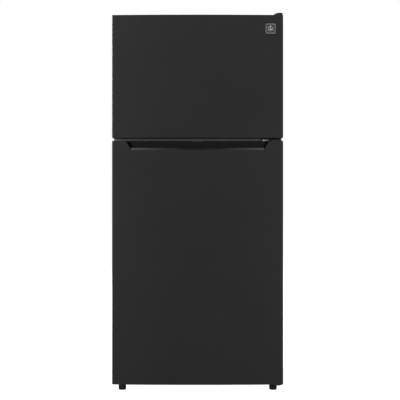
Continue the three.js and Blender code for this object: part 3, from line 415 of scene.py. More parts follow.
def screw(bm, centre, axis, radius, rise):
    """A pan-head cross-recess screw, standing out by `rise` along the axis."""
    head = ((0.55, -0.5), (1, -0.5), (1, rise * 0.35), (0.94, rise * 0.62), (0.72, rise * 0.88), (0.3, rise))
    lathe(bm, centre, axis, [(radius * share, height) for share, height in head], 24)
    turn = turn_to(axis)
    for u, v in ((radius * 0.1, radius * 0.5), (radius * 0.5, radius * 0.1)):
        corners = ((-u, -v), (u, -v), (u, v), (-u, v))
        solid(bm, [[Vector(centre) + turn @ Vector((*corner, h)) for corner in corners]
                   for h in (rise * 0.7, rise * 1.04)])


def smoothstep(value, start, end):
    share = min(max((value - start) / (end - start), 0.0), 1.0)
    return share * share * (3 - 2 * share)


def tub(bm, rect, bottom, rim_at, wall, radii, draft=2, bead=1.2, lean=0):
    """A thin-walled open box. rect is (x0, x1, y0, y1) at the rim, rim_at(x, y) the height of its rim,
    radii those of the corners towards -Y and +Y, and lean how far the +Y wall comes in at the bottom."""
    def outline(inset, share, level, lift=0):
        """The wall's outline at that share of its draft, at that share of the height, and lifted."""
        x0, x1, y0, y1 = grown(rect, -inset - draft * (1 - share))
        y1 -= lean * (1 - share)
        points = []
        for cu, cv, start, radius in ((x1, y0, -90, radii[0]), (x1, y1, 0, radii[1]),
                                      (x0, y1, 90, radii[1]), (x0, y0, 180, radii[0])):
            r = max(radius - inset, 0.4)
            u, v = cu - math.copysign(r, cu - (x0 + x1) / 2), cv - math.copysign(r, cv - (y0 + y1) / 2)
            points += [(u + r * c, v + r * s) for c, s in arc(6, start, start + 90)]
        ring = []
        for (xa, ya), (xb, yb) in zip(points, points[1:] + points[:1]):
            parts = WALL_PARTS if math.hypot(xb - xa, yb - ya) > LONG_WALL else 1
            ring += [(xa + (xb - xa) * i / parts, ya + (yb - ya) * i / parts) for i in range(parts)]
        return [Vector((x, y, bottom + level * (rim_at(x, y) - bottom) + lift)) for x, y in ring]

    heel, inner = 3, bead + wall
    shares = (0.25, 0.5, 0.75, 0.93)
    stations = [(bead + heel, 0, 0), (bead + heel * 0.3, 0, 0, 0.3 * heel), (bead, 0.02, 0, heel)]
    stations += [(bead, share, share) for share in shares]
    stations += [(0.2, 1, 1, -3.2), (0, 1, 1, -2.6), (0, 1, 1, -0.6), (0.5, 1, 1), (bead + wall * 0.7, 1, 1),
                 (inner, 1, 1, -0.6)]
    stations += [(inner, share, share) for share in reversed(shares)]
    stations += [(inner, 0.02, 0, wall + heel), (inner + heel * 0.3, 0, 0, wall + 0.3 * heel),
                 (inner + heel, 0, 0, wall)]
    solid(bm, [outline(*station) for station in stations])


# ---- studio
def add_camera():
    """Level, square to the doors, at the height of the middle of the frame."""
    data = bpy.data.cameras.new("camera")
    data.sensor_width = 36.0
    data.lens = LENS
    made = link(bpy.data.objects.new("camera", data))
    made.location = CAMERA_AT
    made.rotation_euler = (math.pi / 2, 0, 0)
    bpy.context.scene.camera = made


def add_area(name, location, target, size, power):
    data = bpy.data.lights.new(name, "AREA")
    data.shape = "RECTANGLE"
    data.size, data.size_y = size
    data.energy = power
    made = link(bpy.data.objects.new(name, data))
    made.location = location
    made.rotation_euler = (Vector(target) - Vector(location)).to_track_quat("-Z", "Y").to_euler()
    return made


def white_to_camera(tree, dim, white):
    """Mixes two shaders: the camera sees `white`, all other rays meet `dim`."""
    mix = add_node(tree, "MixShader", Fac=add_node(tree, "LightPath").outputs["Is Camera Ray"])
    tree.links.new(dim, mix.inputs[1])
    tree.links.new(white, mix.inputs[2])
    return mix.outputs["Shader"]


def add_world():
    """White for the camera, and for all else a dim studio that is a little lighter at the left."""
    world = bpy.data.worlds.new("studio")
    bpy.context.scene.world = world
    world.use_nodes = True
    tree = world.node_tree
    tree.nodes.clear()
    split = add_node(tree, "SeparateXYZ", Vector=add_node(tree, "TexCoord").outputs["Generated"])
    strength = None
    for axis, span in (("X", (*WORLD_SIDES, -0.6, 0.6)), ("Y", (1, WORLD_BEHIND, -0.1, 0.5)),
                       ("Z", (1, WORLD_ABOVE, 0.3, 0.75))):
        fade = ramp(tree, split.outputs[axis], *span)
        if strength:
            product = add_node(tree, "Math", operation="MULTIPLY")
            tree.links.new(strength, product.inputs[0])
            tree.links.new(fade, product.inputs[1])
            fade = product.outputs["Value"]
        strength = fade
    dim = add_node(tree, "Background", Color=(1, 1, 1, 1), Strength=strength).outputs["Background"]
    white = add_node(tree, "Background", Color=(1, 1, 1, 1)).outputs["Background"]
    add_node(tree, "OutputWorld", Surface=white_to_camera(tree, dim, white))


def add_floor():
    """A pale floor. To the camera it has a glow of its own, which keeps the shadows on it faint."""
    bm = bmesh.new()
    bmesh.ops.create_circle(bm, cap_ends=True, radius=FLOOR_RADIUS, segments=96)
    mesh = bpy.data.meshes.new("floor")
    bm.to_mesh(mesh)
    bm.free()
    made = link(bpy.data.objects.new("floor", mesh))
    pale = Recipe("floor", Specular_IOR_Level=0.2, Emission_Color=(1, 1, 1, 1), Emission_Strength=0.97)
    pale.tint(pale.noise(800, 3), 0.90, 0.92)
    pale.rough(pale.noise(300, 4), 0.6, 0.7)
    glow = pale.node("Emission", Color=(1, 1, 1, 1), Strength=FLOOR_GLOW)
    shown = white_to_camera(pale.tree, glow.outputs["Emission"], pale.shader.outputs["BSDF"])
    adjust(pale.tree, pale.tree.nodes["Material Output"], Surface=shown)
    mesh.materials.append(pale.material)


def add_studio():
    bpy.context.scene.view_settings.view_transform = "Standard"
    bpy.context.scene.view_settings.look = "None"
    add_camera()
    add_world()
    add_floor()
    add_area("key", (-4.6, -4.6, 1.6), (0, -0.3, 0.9), (2.4, 2.4), 190)
    add_area("fill", (3.3, -5.6, 0.72), (0, -0.3, 1.0), (1.0, 1.0), 48)
    add_area("back", (-3.2, 4.6, 2.6), (0, 0.3, 0.9), (2.4, 2.0), 260)
    for side in SIDES:
        overhead = add_area(f"overhead_{side}", (side, -1.15, 3.1), (side, -1.15, 0), (1.3, 1.2), 30)
        overhead.visible_diffuse = False


# ---- doors
def crown_at(x):
    """How far behind the middle of the door's face the face is at x."""
    return CROWN * min(abs(x) / (CAD_BOX[1].x / MM - DOOR_RADIUS), 1.0) ** 2


def door_plan(low, high, inset, extra):
    """Plan of a door's steel wrap, from the left rear edge round the front to the right rear edge."""
    half, front, rear = high.x - inset, low.y + inset, high.y - inset
    reach, radius = high.x - DOOR_RADIUS, DOOR_RADIUS - inset
    side = [(reach + radius * s, front + CROWN + radius - radius * c) for c, s in arc(6, 8, 90)]
    side += [(half - 2 + 2 * c, rear - 2 + 2 * s) for c, s in arc(4, 0, 90)]
    side.append((half - HEM, rear))
    face = [(x, front + crown_at(x)) for x in sorted({*spread(-reach, reach, 97), *extra})]
    return [*((-x, y) for x, y in reversed(side)), *face, *side]


def corner_drop(x, half):
    """How far a round corner, seen from the front, has left the edge at x."""
    beyond = max(abs(x) - (half - CORNER), 0.0)
    return CORNER - math.sqrt(max(CORNER ** 2 - beyond ** 2, 0.0))


def wrap_steel(node, round_low, round_high, edge_at=None, extra=()):
    """The door's coated sheet: crowned, with rolled upper and lower edges. edge_at(x) is the upper edge,
    and round_low and round_high are 1 where the corners are round."""
    low, high = box(node)

    def foot_at(x):
        return low.z + 0.5 + round_low * corner_drop(x, high.x)

    def top_at(x):
        return (edge_at(x) if edge_at else high.z) - round_high * corner_drop(x, high.x)

    def ring(inset, height_of):
        return [Vector((x, y, height_of(x))) for x, y in door_plan(low, high, inset, extra)]

    rings = [ring(ROLL + 0.6, foot_at)]
    rings += [ring(ROLL * (1 - s), lambda x: foot_at(x) + ROLL * (1 - c)) for c, s in arc(4, 0, 90)]
    for share in (0.25, 0.5, 0.75):
        rings.append(ring(0, lambda x: foot_at(x) + ROLL + share * (top_at(x) - foot_at(x) - 2 * ROLL)))
    rings += [ring(ROLL * (1 - c), lambda x: top_at(x) - ROLL * (1 - s)) for c, s in arc(4, 0, 90)]
    rings.append(ring(3.6, top_at))
    bm = bmesh.new()
    loft(bm, rings, closed=False)
    stand_in(node + "_sheet", bm, "door_steel", node)


def pocket_edge(x):
    """Height of the fridge door's upper edge, cut down by the handle's trapezoid opening."""
    share = min(max((abs(x) - POCKET_LOW) / (POCKET_HIGH - POCKET_LOW), 0.0), 1.0)
    return box("fridge_door_skin")[1].z - POCKET_DEEP * (1 - share)


def add_door_liner(node, ring, low_rib=None):
    """A door's formed liner: a flat flange, a raised ring with soft corners, and a flat field inside it."""
    low, high = box(node)
    foam_low, foam_high = box(node.replace("liner", "foam"))
    sheet = (low.x, high.x, foam_low.z, foam_high.z)
    face, crest = low.y + 2.7, high.y
    rings = [upright(grown(sheet, -1), low.y, 1), upright(sheet, low.y + 1, 2),
             upright(grown(sheet, -0.3), face - 0.3, 2), upright(grown(sheet, -1), face, 1.4)]
    section = ((16, face), (0, face), (-2.5, crest), (-25.5, crest), (-28, face), (-44, face))
    rings += [upright(grown(ring, grow), y, max(26 + grow, 6)) for grow, y in soften(section, 7, 5)]
    bm = bmesh.new()
    solid(bm, rings)
    if low_rib:
        section = ((3, -0.5), (0, 0), (-2, 9.6), (-26, 9.6), (-28, 0), (-31, -0.5))
        loft(bm, [upright(grown(low_rib, grow), face + rise, max(18 + grow, 3))
                  for grow, rise in soften(section, 4)])
    stand_in(node + "_formed", bm, "liner_white", node)


def add_gasket(node):
    """A magnetic gasket: a bellows below a flat magnet strip."""
    low, high = box(node)
    section = [(2.5, 0), (0.6, 1.6), (0.2, 3.6), (3.2, 5.4), (3.2, 6.4), (0.3, 8.2), (0, 11), (0.5, 13),
               (2, 13.4), (15.5, 13.4), (17.5, 12.6), (18.2, 10.6), (15.6, 8.6), (15.6, 7.6), (19.6, 5.2),
               (19.8, 2.4), (18, 0)]
    stretch = (high.y - low.y) / max(rise for _, rise in section)
    bm = bmesh.new()
    loft(bm, [upright((low.x + inset, high.x - inset, low.z + inset, high.z - inset), low.y + rise * stretch,
                      max(12 - inset, 1.5), 6) for inset, rise in [*section, section[0]]])
    stand_in(node + "_bellows", bm, "gasket_rubber", node, 60)


def add_door_bin(node):
    """A clear door bin: full height at its sides, lower in front, with two ribs across its front."""
    low, high = box(node)
    front = low.z + 0.72 * (high.z - low.z)

    def rim_at(x, y):
        return high.z + (front - high.z) * smoothstep(y, high.y - 44, high.y - 16)

    bm = bmesh.new()
    tub(bm, (low.x, high.x, low.y, high.y), low.z, rim_at, 2.2, (5, 24))
    half = high.x - 40
    for rise in (0.34, 0.5):
        z = low.z + rise * (front - low.z)
        slab(bm, "Y", (-half, half, z - 2, z + 2), high.y - 4.5, high.y - 1.2, 1.9, 0.6)
    for side in SIDES:
        x = side * (high.x - 60)
        slab(bm, "Z", (x - 0.8, x + 0.8, low.y + 3, high.y - 6), low.z + 1, low.z + 6, 0.6, 0.3)
    stand_in(node + "_tub", bm, "clear_plastic", node)


def add_dairy():
    """The dairy box, its ears and its clear lid with a finger lip."""
    low, high = box("dairy_box")
    deck = high.z - 10

    def rim_at(x, y):
        return deck + (low.z + 34 - deck) * smoothstep(y, high.y - 26, high.y - 9)

    bm = bmesh.new()
    tub(bm, (low.x, high.x, low.y, high.y), low.z, rim_at, 2.4, (4, 10), 1)
    for side in SIDES:
        slab(bm, "X", (low.y + 1, low.y + 19, deck - 16, high.z), side * (high.x - 2.4), side * high.x, 6, 0.4)
    stand_in("dairy_box_tub", bm, "trim_white", "dairy_box")

    low, high = box("dairy_lid")
    half, thick = high.x - 4, 2.4
    outer = soften([(low.y, high.z), (high.y, high.z), (high.y, low.z)], 16, 8)
    inner = soften([(low.y, high.z - thick), (high.y - thick, high.z - thick), (high.y - thick, low.z)], 14, 8)
    section = [*outer, *reversed(inner)]
    middle = [(a + b) / 2 for a, b in zip(section, reversed(section))]
    bm = bmesh.new()
    solid(bm, [[Vector((x, *(p + (m - p) * shrink))) for p, m in zip(section, middle)]
               for x, shrink in ((-half, 0.35), (-half + 0.5, 0), (half - 0.5, 0), (half, 0.35))])
    slab(bm, "Z", (-60, 60, high.y - 7, high.y - 1), low.z, low.z + 3, 2)
    for side in SIDES:
        pin = [(2.9, 0), (2.9, 8.6), (2.4, 9.2)]
        lathe(bm, (side * (half - 6), low.y + 5, high.z - 1.5), (side, 0, 0), pin, 20)
    stand_in("dairy_lid_clear", bm, "clear_plastic", "dairy_lid")


def add_pocket_tab():
    """A finger tab in the middle of the pocket's upper edge, straight above and curved below."""
    low, high = box("handle_cap")
    top = high.z - 0.5
    steps = spread(-1, 1, 25)
    rings = []
    for y, shrink in ((30, 0), (25, 0), (24.4, 0.3), (24, 1)):
        half, drop = TAB_HALF - shrink, TAB_DROP - 1 - shrink
        outline = [(share * half, top - 1 - drop * (1 - share ** 2)) for share in steps]
        outline += [(share * half, top) for share in reversed(steps)]
        rings.append([Vector((x, low.y + y, z)) for x, z in outline])
    bm = bmesh.new()
    solid(bm, rings)
    piece("pocket_tab", bm, "black_steel", "fridge_door")


def add_pocket_end_shade():
    """Near-black wedges in the slanted ends of the pocket: painted shade that stands for the shadow there."""
    low, high = box("fridge_door_skin")
    front, back = low.y + 8, low.y + 30
    bm = bmesh.new()
    for side in SIDES:
        rings = []
        for share in (0.06, 0.97):
            edge = POCKET_LOW + share * (POCKET_HIGH - POCKET_LOW) - 0.6
            rings.append([Vector((side * x, y, high.z - POCKET_DEEP * (1 - share)))
                          for x, y in ((edge, front), (edge, back), (edge - 10, back))])
        solid(bm, rings)
    # This piece is painted shade: near-black wedges where the pocket's ends lie in shadow.
    piece("pocket_end_shade", bm, "painted_shade_black", "fridge_door")


def add_doors():
    wrap_steel("freezer_door_skin", 1, 0)
    bends = [side * x for side in SIDES for x in (POCKET_LOW, POCKET_HIGH)]
    wrap_steel("fridge_door_skin", 0, 1, pocket_edge, bends)
    carry("handle_cap", "gloss_black", 0.5, 3)
    for node in ("freezer_door_top_cap", "fridge_door_bottom_cap", "freezer_door_bottom_cap"):
        carry(node, "matte_black")
    for door in ("freezer_door", "fridge_door"):
        add_gasket(door + "_gasket")
        carry(door + "_foam", "foam", 0.5, 1)
    add_door_liner("freezer_door_liner", (-300, 300, 1186, 1593))
    add_door_liner("fridge_door_liner", (-300, 300, 335, 1052), (-300, 300, 110, 338))
    for node in NODES:
        if "_door_bin_" in node:
            add_door_bin(node)
    add_dairy()
    add_pocket_tab()
    add_pocket_end_shade()


def add_badge():
    """Satin frame, dark enamel and a six-armed snow crystal."""
    low, high = box("badge")
    x, _, z = (low + high) / 2
    centre, half = Vector((x, high.y, z)), high.x - x

    def square(inset, depth, radius, size=1.0):
        reach = half - inset
        return [centre + Vector((u * size, -depth, v * size))
                for u, v in round_rect(-reach, reach, -reach, reach, radius)]

    bm = bmesh.new()
    loft(bm, [square(inset, depth, max(3 - inset, 0.8))
              for inset, depth in ((0, 0), (0, 0.9), (0.4, 1.3), (2.6, 1.3), (3.0, 0.9), (3.2, 0.4))])
    stand_in("badge_frame", bm, "badge_metal", "badge", 40)

    bm = bmesh.new()
    solid(bm, [square(3, depth, 1, size) for size, depth in ((1.0, 0.1), (1.0, 0.5), (0.98, 0.62))])
    piece("badge_field", bm, "badge_enamel", "freezer_door")

    bm = bmesh.new()
    for arm in range(6):
        turn = Matrix.Rotation(math.radians(60 * arm), 3, "Y")
        for start, end, width in (((0, 0), (0, 15), 1.5), ((0, 6), (4.6, 10), 1.2), ((0, 6), (-4.6, 10), 1.2),
                                  ((0, 10), (3.4, 13.2), 1.0), ((0, 10), (-3.4, 13.2), 1.0)):
            a, b = Vector((start[0], 0, start[1])), Vector((end[0], 0, end[1]))
            along = (b - a).normalized()
            across = Vector((-along.z, 0, along.x)) * width / 2
            rings = []
            for wide, depth in ((1.0, 0.5), (1.0, 1.1), (0.6, 1.3)):
                corners = (a - across * wide, b - across * wide, b + across * wide, a + across * wide)
                rings.append([centre + Vector((0, -depth, 0)) + turn @ corner for corner in corners])
            solid(bm, rings)
    piece("badge_crystal", bm, "badge_metal", "freezer_door")


# ---- cabinet
def liner_shell(floor_path, half, top, back, lip):
    """A compartment's formed liner, seen from inside. floor_path gives (y, z) of its floor, front to back."""
    front, floor = floor_path[0]
    mouth = (-half, half, floor, top)
    rings = [upright(lip, front + 2, 3), upright(lip, front + 0.6, 3), upright(grown(lip, -0.6), front, 3),
             upright(grown(mouth, 1.6), front, LINER_RADIUS),
             upright(grown(mouth, 0.5), front + 0.5, LINER_RADIUS)]
    rings += [upright((-half, half, z, top), y, LINER_RADIUS) for y, z in floor_path[1:]]
    last = (-half, half, floor_path[-1][1], top)
    for c, s in arc(5, 0, 90)[1:]:
        inset = LINER_RADIUS * (1 - c)
        rings.append(upright(grown(last, -inset), back - LINER_RADIUS * (1 - s), max(LINER_RADIUS - inset, 2)))
    bm = bmesh.new()
    loft(bm, rings, cap_last=True)
    return bm


def add_ledges(bm, half, rect, radius):
    """A shelf's ledges on both side walls."""
    for side in SIDES:
        slab(bm, "X", rect, side * (half + 1), side * (half - 9), radius, 1.2)


def add_liners():
    half, back = 326, 311
    valley = soften(((-285, 90), (70, 90), (103, 267)), 22, 6)
    ridge = soften(((103, 267), (110, 305), (back - LINER_RADIUS, 305)), 5, 4)
    bm = liner_shell([(CABINET_FRONT, 90), *valley, *ridge[1:]], half, 1082, back, (-329.7, 329.7, 86.3, 1085.7))
    for z, end in ((790, 290), (545, 290), (315, 250)):
        add_ledges(bm, half, (-150, end, z - 6.3, z - 0.3), 3)
    for side in SIDES:
        for y in (-60, 60, 180):
            slab(bm, "X", (y - 3, y + 3, 830, 1010), side * (half + 1), side * (half - 1.4), 2.9, 1)
    stand_in("fridge_liner_formed", bm, "liner_white", "fridge_liner")

    half, back = 316, 301
    floor = [(y, 1158) for y in (CABINET_FRONT, CABINET_FRONT + 1, 0, back - LINER_RADIUS)]
    bm = liner_shell(floor, half, 1621, back, (-329.7, 329.7, 1154.3, 1624.7))
    add_ledges(bm, half, (-140, 225, 1382, 1388), 2.9)
    stand_in("freezer_liner_formed", bm, "liner_white", "freezer_liner")


def add_hinge_screws():
    """Zinc screws that hold the hinges' legs to the cabinet, one mesh for each hinge."""
    low, high = box("center_hinge")
    for node, xs, z, radius in (("center_hinge", (297.5, 310.5), (low.z + high.z) / 2 + 2, 6.2),
                                ("bottom_hinge", (316, 336), 45, 4.5)):
        bm = bmesh.new()
        for x in xs:
            screw(bm, (x, CABINET_FRONT - 3, z), (0, -1, 0), radius, 3.2)
        piece(node + "_screws", bm, "bright_zinc", "cabinet", 30)


def add_hole_cover():
    """A plate over the hinge holes that are left free for a door hung on the other side."""
    left, right = box("cabinet_shell")[0].x + 1, box("center_rail")[0].x - 0.5
    bottom, top = box("fridge_door_gasket")[1].z + 1.5, box("freezer_door_gasket")[0].z - 1.5
    bm = bmesh.new()
    slab(bm, "Y", (left, right, bottom, top), CABINET_FRONT, CABINET_FRONT - 1.6, 2)
    piece("hinge_hole_cover", bm, "rail_steel", "cabinet")


def add_cabinet():
    carry("cabinet_shell", "cabinet_steel", 0.5)
    carry("center_rail", "rail_steel", 0.4)
    carry("back_panel", "zinc_steel", 0.4)
    carry("machine_cover", "zinc_steel", 0.3)
    carry("cabinet_foam", "foam", 0.5, 1)
    for node in ("base_frame", "top_hinge", "center_hinge", "bottom_hinge"):
        carry(node, "black_steel", 0.5)
    carry("top_hinge_cover", "matte_black", 1.4, 4)
    add_liners()
    add_hinge_screws()
    add_hole_cover()


# ---- inside
def add_freezer_shelf():
    """A white-coated wire shelf: long round wires on three cross bars, with a turned-down front."""
    low, high = box("freezer_shelf")
    rod, wire = 2.6, 1.6
    deck = high.z - 2 * wire
    bm = bmesh.new()
    for y, z in ((low.y + 4, deck - rod), ((low.y + high.y) / 2, deck - rod), (high.y - 4, deck - rod),
                 (low.y + rod, low.z + rod)):
        tube(bm, [(low.x, y, z), (high.x, y, z)], rod, 12)
    for x in spread(low.x + 8, high.x - 8, 27):
        path = [(x, low.y + wire, low.z + rod), (x, low.y + wire, deck + wire), (x, high.y - 2, deck + wire)]
        tube(bm, soften(path, 5, 4), wire)
    stand_in("freezer_shelf_wires", bm, "trim_white", "freezer_shelf")


def add_crisper(node):
    """A clear crisper: a leaning tub below a rim that rides on ledges, with a front panel and a hooked grip."""
    low, high = box(node)
    front, rim = low.y + 16, high.z - 5
    bm = bmesh.new()
    tub(bm, (low.x + 4, high.x - 4, front, high.y), low.z + 1, lambda x, y: rim, 2.3, (5, 16), 1, 1.2, 40)
    for start, end in ((low.x, low.x + 6), (high.x - 6, high.x)):
        slab(bm, "Y", (start, end, rim - 4, rim - 1.4), front + 2, high.y - 6, 1, 0.4)
    slab(bm, "Y", (low.x + 1, high.x - 1, low.z, high.z), front - 6, front + 1, 9, 1.6, 6)
    middle = (low.x + high.x) / 2
    section = soften([(front - 5, rim - 32), (low.y + 0.5, rim - 20), (low.y + 0.5, rim - 11),
                      (low.y + 3.4, rim - 11), (front - 5, rim - 20)], 3, 4)
    centre = sum(section, Vector((0, 0))) / len(section)
    solid(bm, [[Vector((middle + x, *(centre + (point - centre) * size))) for point in section]
               for x, size in ((-80, 0.55), (-77, 0.9), (-70, 1), (70, 1), (77, 0.9), (80, 0.55))])
    for x in (middle - 70, middle, middle + 70):
        slab(bm, "X", (front + 8, front + 190, low.z + 3, low.z + 6), x - 1, x + 1, 1, 0.4)
    stand_in(node + "_tub", bm, "clear_plastic", node)


def add_knob(node):
    """A dial: a ribbed skirt, a raised grip bar and a painted pointer."""
    low, high = box(node)
    x, _, z = (low + high) / 2
    radius = (high.x - low.x) / 2
    face = low.y + 17
    bm = bmesh.new()
    lathe(bm, (x, face, z), (0, -1, 0), [(2.9, -9), (2.9, 0), (radius - 1.2, 0), (radius - 0.4, 0.8),
                                         (radius - 0.6, 3), (radius - 1.6, 4), (radius - 4, 4.4)], 60)
    edge = radius - 0.45
    for c, s in circle(30):
        tube(bm, [(x + edge * c, face - rise, z + edge * s) for rise in (0.9, 3.4)], 0.45, 6)
    solid(bm, [[Vector((x + u, y, z + v)) for u, v in round_rect(-half, half, -length, length, half * 0.9)]
               for y, half, length in ((face - 3.6, 3.6, 15.4), (face - 8, 3.0, 15.0), (low.y + 1.2, 2.6, 14.6),
                                       (low.y + 0.3, 2.2, 14.2), (low.y, 1.5, 13.5))])
    stand_in(node + "_dial", bm, "trim_white", node, 45)
    bm = bmesh.new()
    slab(bm, "Y", (x - 0.6, x + 0.6, z + 4, z + 13), low.y + 0.25, low.y - 0.02, 0.5, 0.05)
    piece(node + "_pointer", bm, "print_ink", NODES[node]["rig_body"])


def add_number(bm, text, place):
    """Raised lettering that faces the front."""
    label = bpy.data.curves.new("label", "FONT")
    label.body = text
    label.size = 3.6 * MM
    label.extrude = 0.06 * MM
    label.align_x = label.align_y = "CENTER"
    holder = link(bpy.data.objects.new("label", label))
    letters = bpy.data.meshes.new_from_object(holder.evaluated_get(bpy.context.evaluated_depsgraph_get()))
    turn = Matrix.Rotation(math.pi / 2, 4, "X") @ Matrix.Scale(1 / MM, 4)
    letters.transform(Matrix.Translation(place) @ turn)
    bm.from_mesh(letters)
    bpy.data.objects.remove(holder)
    bpy.data.curves.remove(label)
    bpy.data.meshes.remove(letters)


def add_dial_marks(knobs):
    """Ticks and the numbers 1 to 5 round each dial, printed on the control housing."""
    face = box("control_housing")[0].y
    bm = bmesh.new()
    for node in knobs:
        low, high = box(node)
        middle = (low + high) / 2
        middle.y = face
        for i in range(5):
            turn = math.radians(-60 + 30 * i)
            away = Vector((math.sin(turn), 0, math.cos(turn)))
            across = Vector((away.z, 0, -away.x))
            tick = [middle + away * r + across * 0.25 * side
                    for r, side in ((17.8, -1), (19.2, -1), (19.2, 1), (17.8, 1))]
            solid(bm, [[corner + Vector((0, y, 0)) for corner in tick] for y in (0.05, -0.08)])
            add_number(bm, str(i + 1), middle + away * 21)
    piece("dial_marks", bm, "print_ink", "cabinet", 30)


def add_lamp():
    """The ribbed lens that closes the lamp well under the control housing."""
    low, high = box("control_housing")
    bm = bmesh.new()
    slab(bm, "Z", (low.x + 27, high.x - 27, low.y + 36, high.y - 36), low.z + 2, low.z + 5, 5, 0.8)
    for x in spread(low.x + 33, high.x - 33, 36):
        tube(bm, [(x, y, low.z + 2.2) for y in (low.y + 40, high.y - 40)], 1.5)
    piece("lamp_lens", bm, "lamp_lens", "cabinet", 50)


def add_slider(node):
    """A humidity slide's knob: a stem, a thumb plate and three ribs."""
    low, high = box(node)
    x, _, z = (low + high) / 2
    plate = low.y + 4
    bm = bmesh.new()
    slab(bm, "Y", (x - 6, x + 6, z - 3, z + 3), plate, high.y, 2)
    slab(bm, "Y", (low.x, high.x, low.z, high.z), plate, plate + 5.6, 4, 0.9, 6)
    for shift, lower in ((-4, 1.6), (0, 0), (4, 1.6)):
        rect = (x + shift - 1, x + shift + 1, low.z + 1.6, high.z - 1.6)
        slab(bm, "Y", rect, low.y + lower, plate + 1, 0.9, 0.4)
    stand_in(node + "_knob", bm, "trim_white", node, 45)


def add_inside():
    add_freezer_shelf()
    for side in ("left", "right"):
        add_crisper("crisper_" + side)
        add_slider("humidity_slider_" + side)
    knobs = ("freezer_control_knob", "fridge_control_knob")
    for node in knobs:
        add_knob(node)
    add_dial_marks(knobs)
    add_lamp()
    for node, width in (("evaporator_cover", 0.9), ("air_duct", 1.6), ("control_housing", 1.6)):
        carry(node, "trim_white", width, 3)
    for shelf in ("upper_shelf", "lower_shelf", "crisper_cover"):
        carry(shelf + "_frame", "trim_white", 1.2, 3)
        low, high = box(shelf + "_glass")
        bm = bmesh.new()
        slab(bm, "Z", (low.x, high.x, low.y, high.y), low.z, high.z, 2, 0.4)
        stand_in(shelf + "_glass_pane", bm, "shelf_glass", shelf + "_glass", 5)


# ---- behind and below
def add_fan(node, axis, hub):
    """A moulded fan: a domed hub and five blades that twist from root to tip."""
    low, high = box(node)
    centre, size = (low + high) / 2, sorted(high - low)
    tip, deep = size[1] / 2 - 0.6, size[0] / 2
    turn = turn_to(axis)
    bm = bmesh.new()
    lathe(bm, centre, axis, [(2.6, -deep * 0.7), (hub, -deep * 0.7), (hub, deep * 0.35), (hub * 0.9, deep * 0.6),
                             (hub * 0.6, deep * 0.74), (2.6, deep * 0.78)], 40)
    for blade in range(5):
        rings = []
        for share in spread(0, 1, 9):
            radius = hub * 0.92 + (tip - hub * 0.92) * share
            slant = math.radians(48 - 24 * share)
            wide = tip * (0.52 + 0.34 * math.sin(math.pi * (0.15 + 0.7 * share)))
            thick = 1.5 - 0.7 * share
            swing = 2 * math.pi * blade / 5 + 0.35 * share
            ring = []
            for u, v in BLADE:
                across, lift = u * wide, v * thick + 8.8 * (0.25 - u * u)
                side = across * math.cos(slant) - lift * math.sin(slant)
                rise = across * math.sin(slant) + lift * math.cos(slant)
                rise = max(min(rise, deep * 0.98), -deep * 0.98)
                angle = swing + side / radius
                ring.append(centre + turn @ Vector((radius * math.cos(angle), radius * math.sin(angle), rise)))
            rings.append(ring)
        solid(bm, rings)
    stand_in(node + "_rotor", bm, "matte_black", node)


def add_compressor():
    """A welded compressor shell on its plate, with rubber feet, a terminal box and stub pipes."""
    low, high = box("compressor")
    x, y = COMPRESSOR_AT
    radius, top, seam = 73, high.z, high.z - 62
    profile = [(radius - 30, 51), (radius - 16, 52), (radius - 6, 60), (radius - 1.5, 76), (radius - 1, seam - 4),
               (radius - 0.5, seam - 2), (radius + 0.6, seam - 1), (radius + 0.8, seam), (radius + 0.6, seam + 1),
               (radius - 2.2, seam + 2.4)]
    profile += [((radius - 2.2) * c, top - 48 + 48 * s) for c, s in arc(12, 0, 88)]
    bm = bmesh.new()
    lathe(bm, (x, y, 0), (0, 0, 1), profile, 64)
    slab(bm, "Z", (x - 100, x + 100, y - 62, y + 62), 47, 51, 14, 0.6, 6)
    slab(bm, "Y", (x - 30, x + 30, 90, 146), y + radius - 12, high.y, 7, 2, 5)
    foot = [(9, 36.4), (10.8, 37.2), (10.8, 40), (8.6, 41), (8.6, 43), (10.8, 44), (10.8, 46.2), (9, 47.2)]
    for side in SIDES:
        for way in SIDES:
            at = (x + side * 84, y + way * 46, 0)
            lathe(bm, at, (0, 0, 1), foot, 24)
            lathe(bm, at, (0, 0, 1), [(5, 51), (5, 54), (3, 55)], 6)
    stand_in("compressor_shell", bm, "black_steel", "compressor", 40)

    bm = bmesh.new()
    for start, top in ((-50, 210), (-20, 192), (35, 178)):
        root = Vector((x - 72 * math.cos(math.radians(start)), y + 72 * math.sin(math.radians(start)), 120))
        away = root + Vector((-30, 0, 6))
        up = Vector((away.x, away.y, top))
        tube(bm, soften([root + Vector((8, 0, 0)), away, up, up + Vector((-46, 10, 0))], 14, 6), 3.2, 12)
    piece("suction_pipes", bm, "copper", "cabinet", 60)


def add_condenser():
    """A wire-on-tube condenser, rolled into a stack of flat serpentines."""
    low, high = box("condenser")
    pipe, wire = 2.6, 0.8
    left, right = low.x + 10, high.x - 10
    bm = bmesh.new()
    for y in spread(low.y + 8, high.y - 8, 7):
        tube(bm, soften(serpentine(left, right, y, spread(low.z + 10, high.z - 10, 12)), 7, 3), pipe)
        for x in spread(left + 8, right - 8, 15):
            for face in SIDES:
                at = y + face * (pipe + wire * 0.8)
                tube(bm, [(x, at, z) for z in (low.z + 2, high.z - 2)], wire, 5)
    for x in (low.x + 22, high.x - 22):
        slab(bm, "X", (low.y, high.y, low.z, low.z + 14), x - 0.6, x + 0.6, 2, 0.2)
    stand_in("condenser_coil", bm, "black_steel", "condenser", 60)


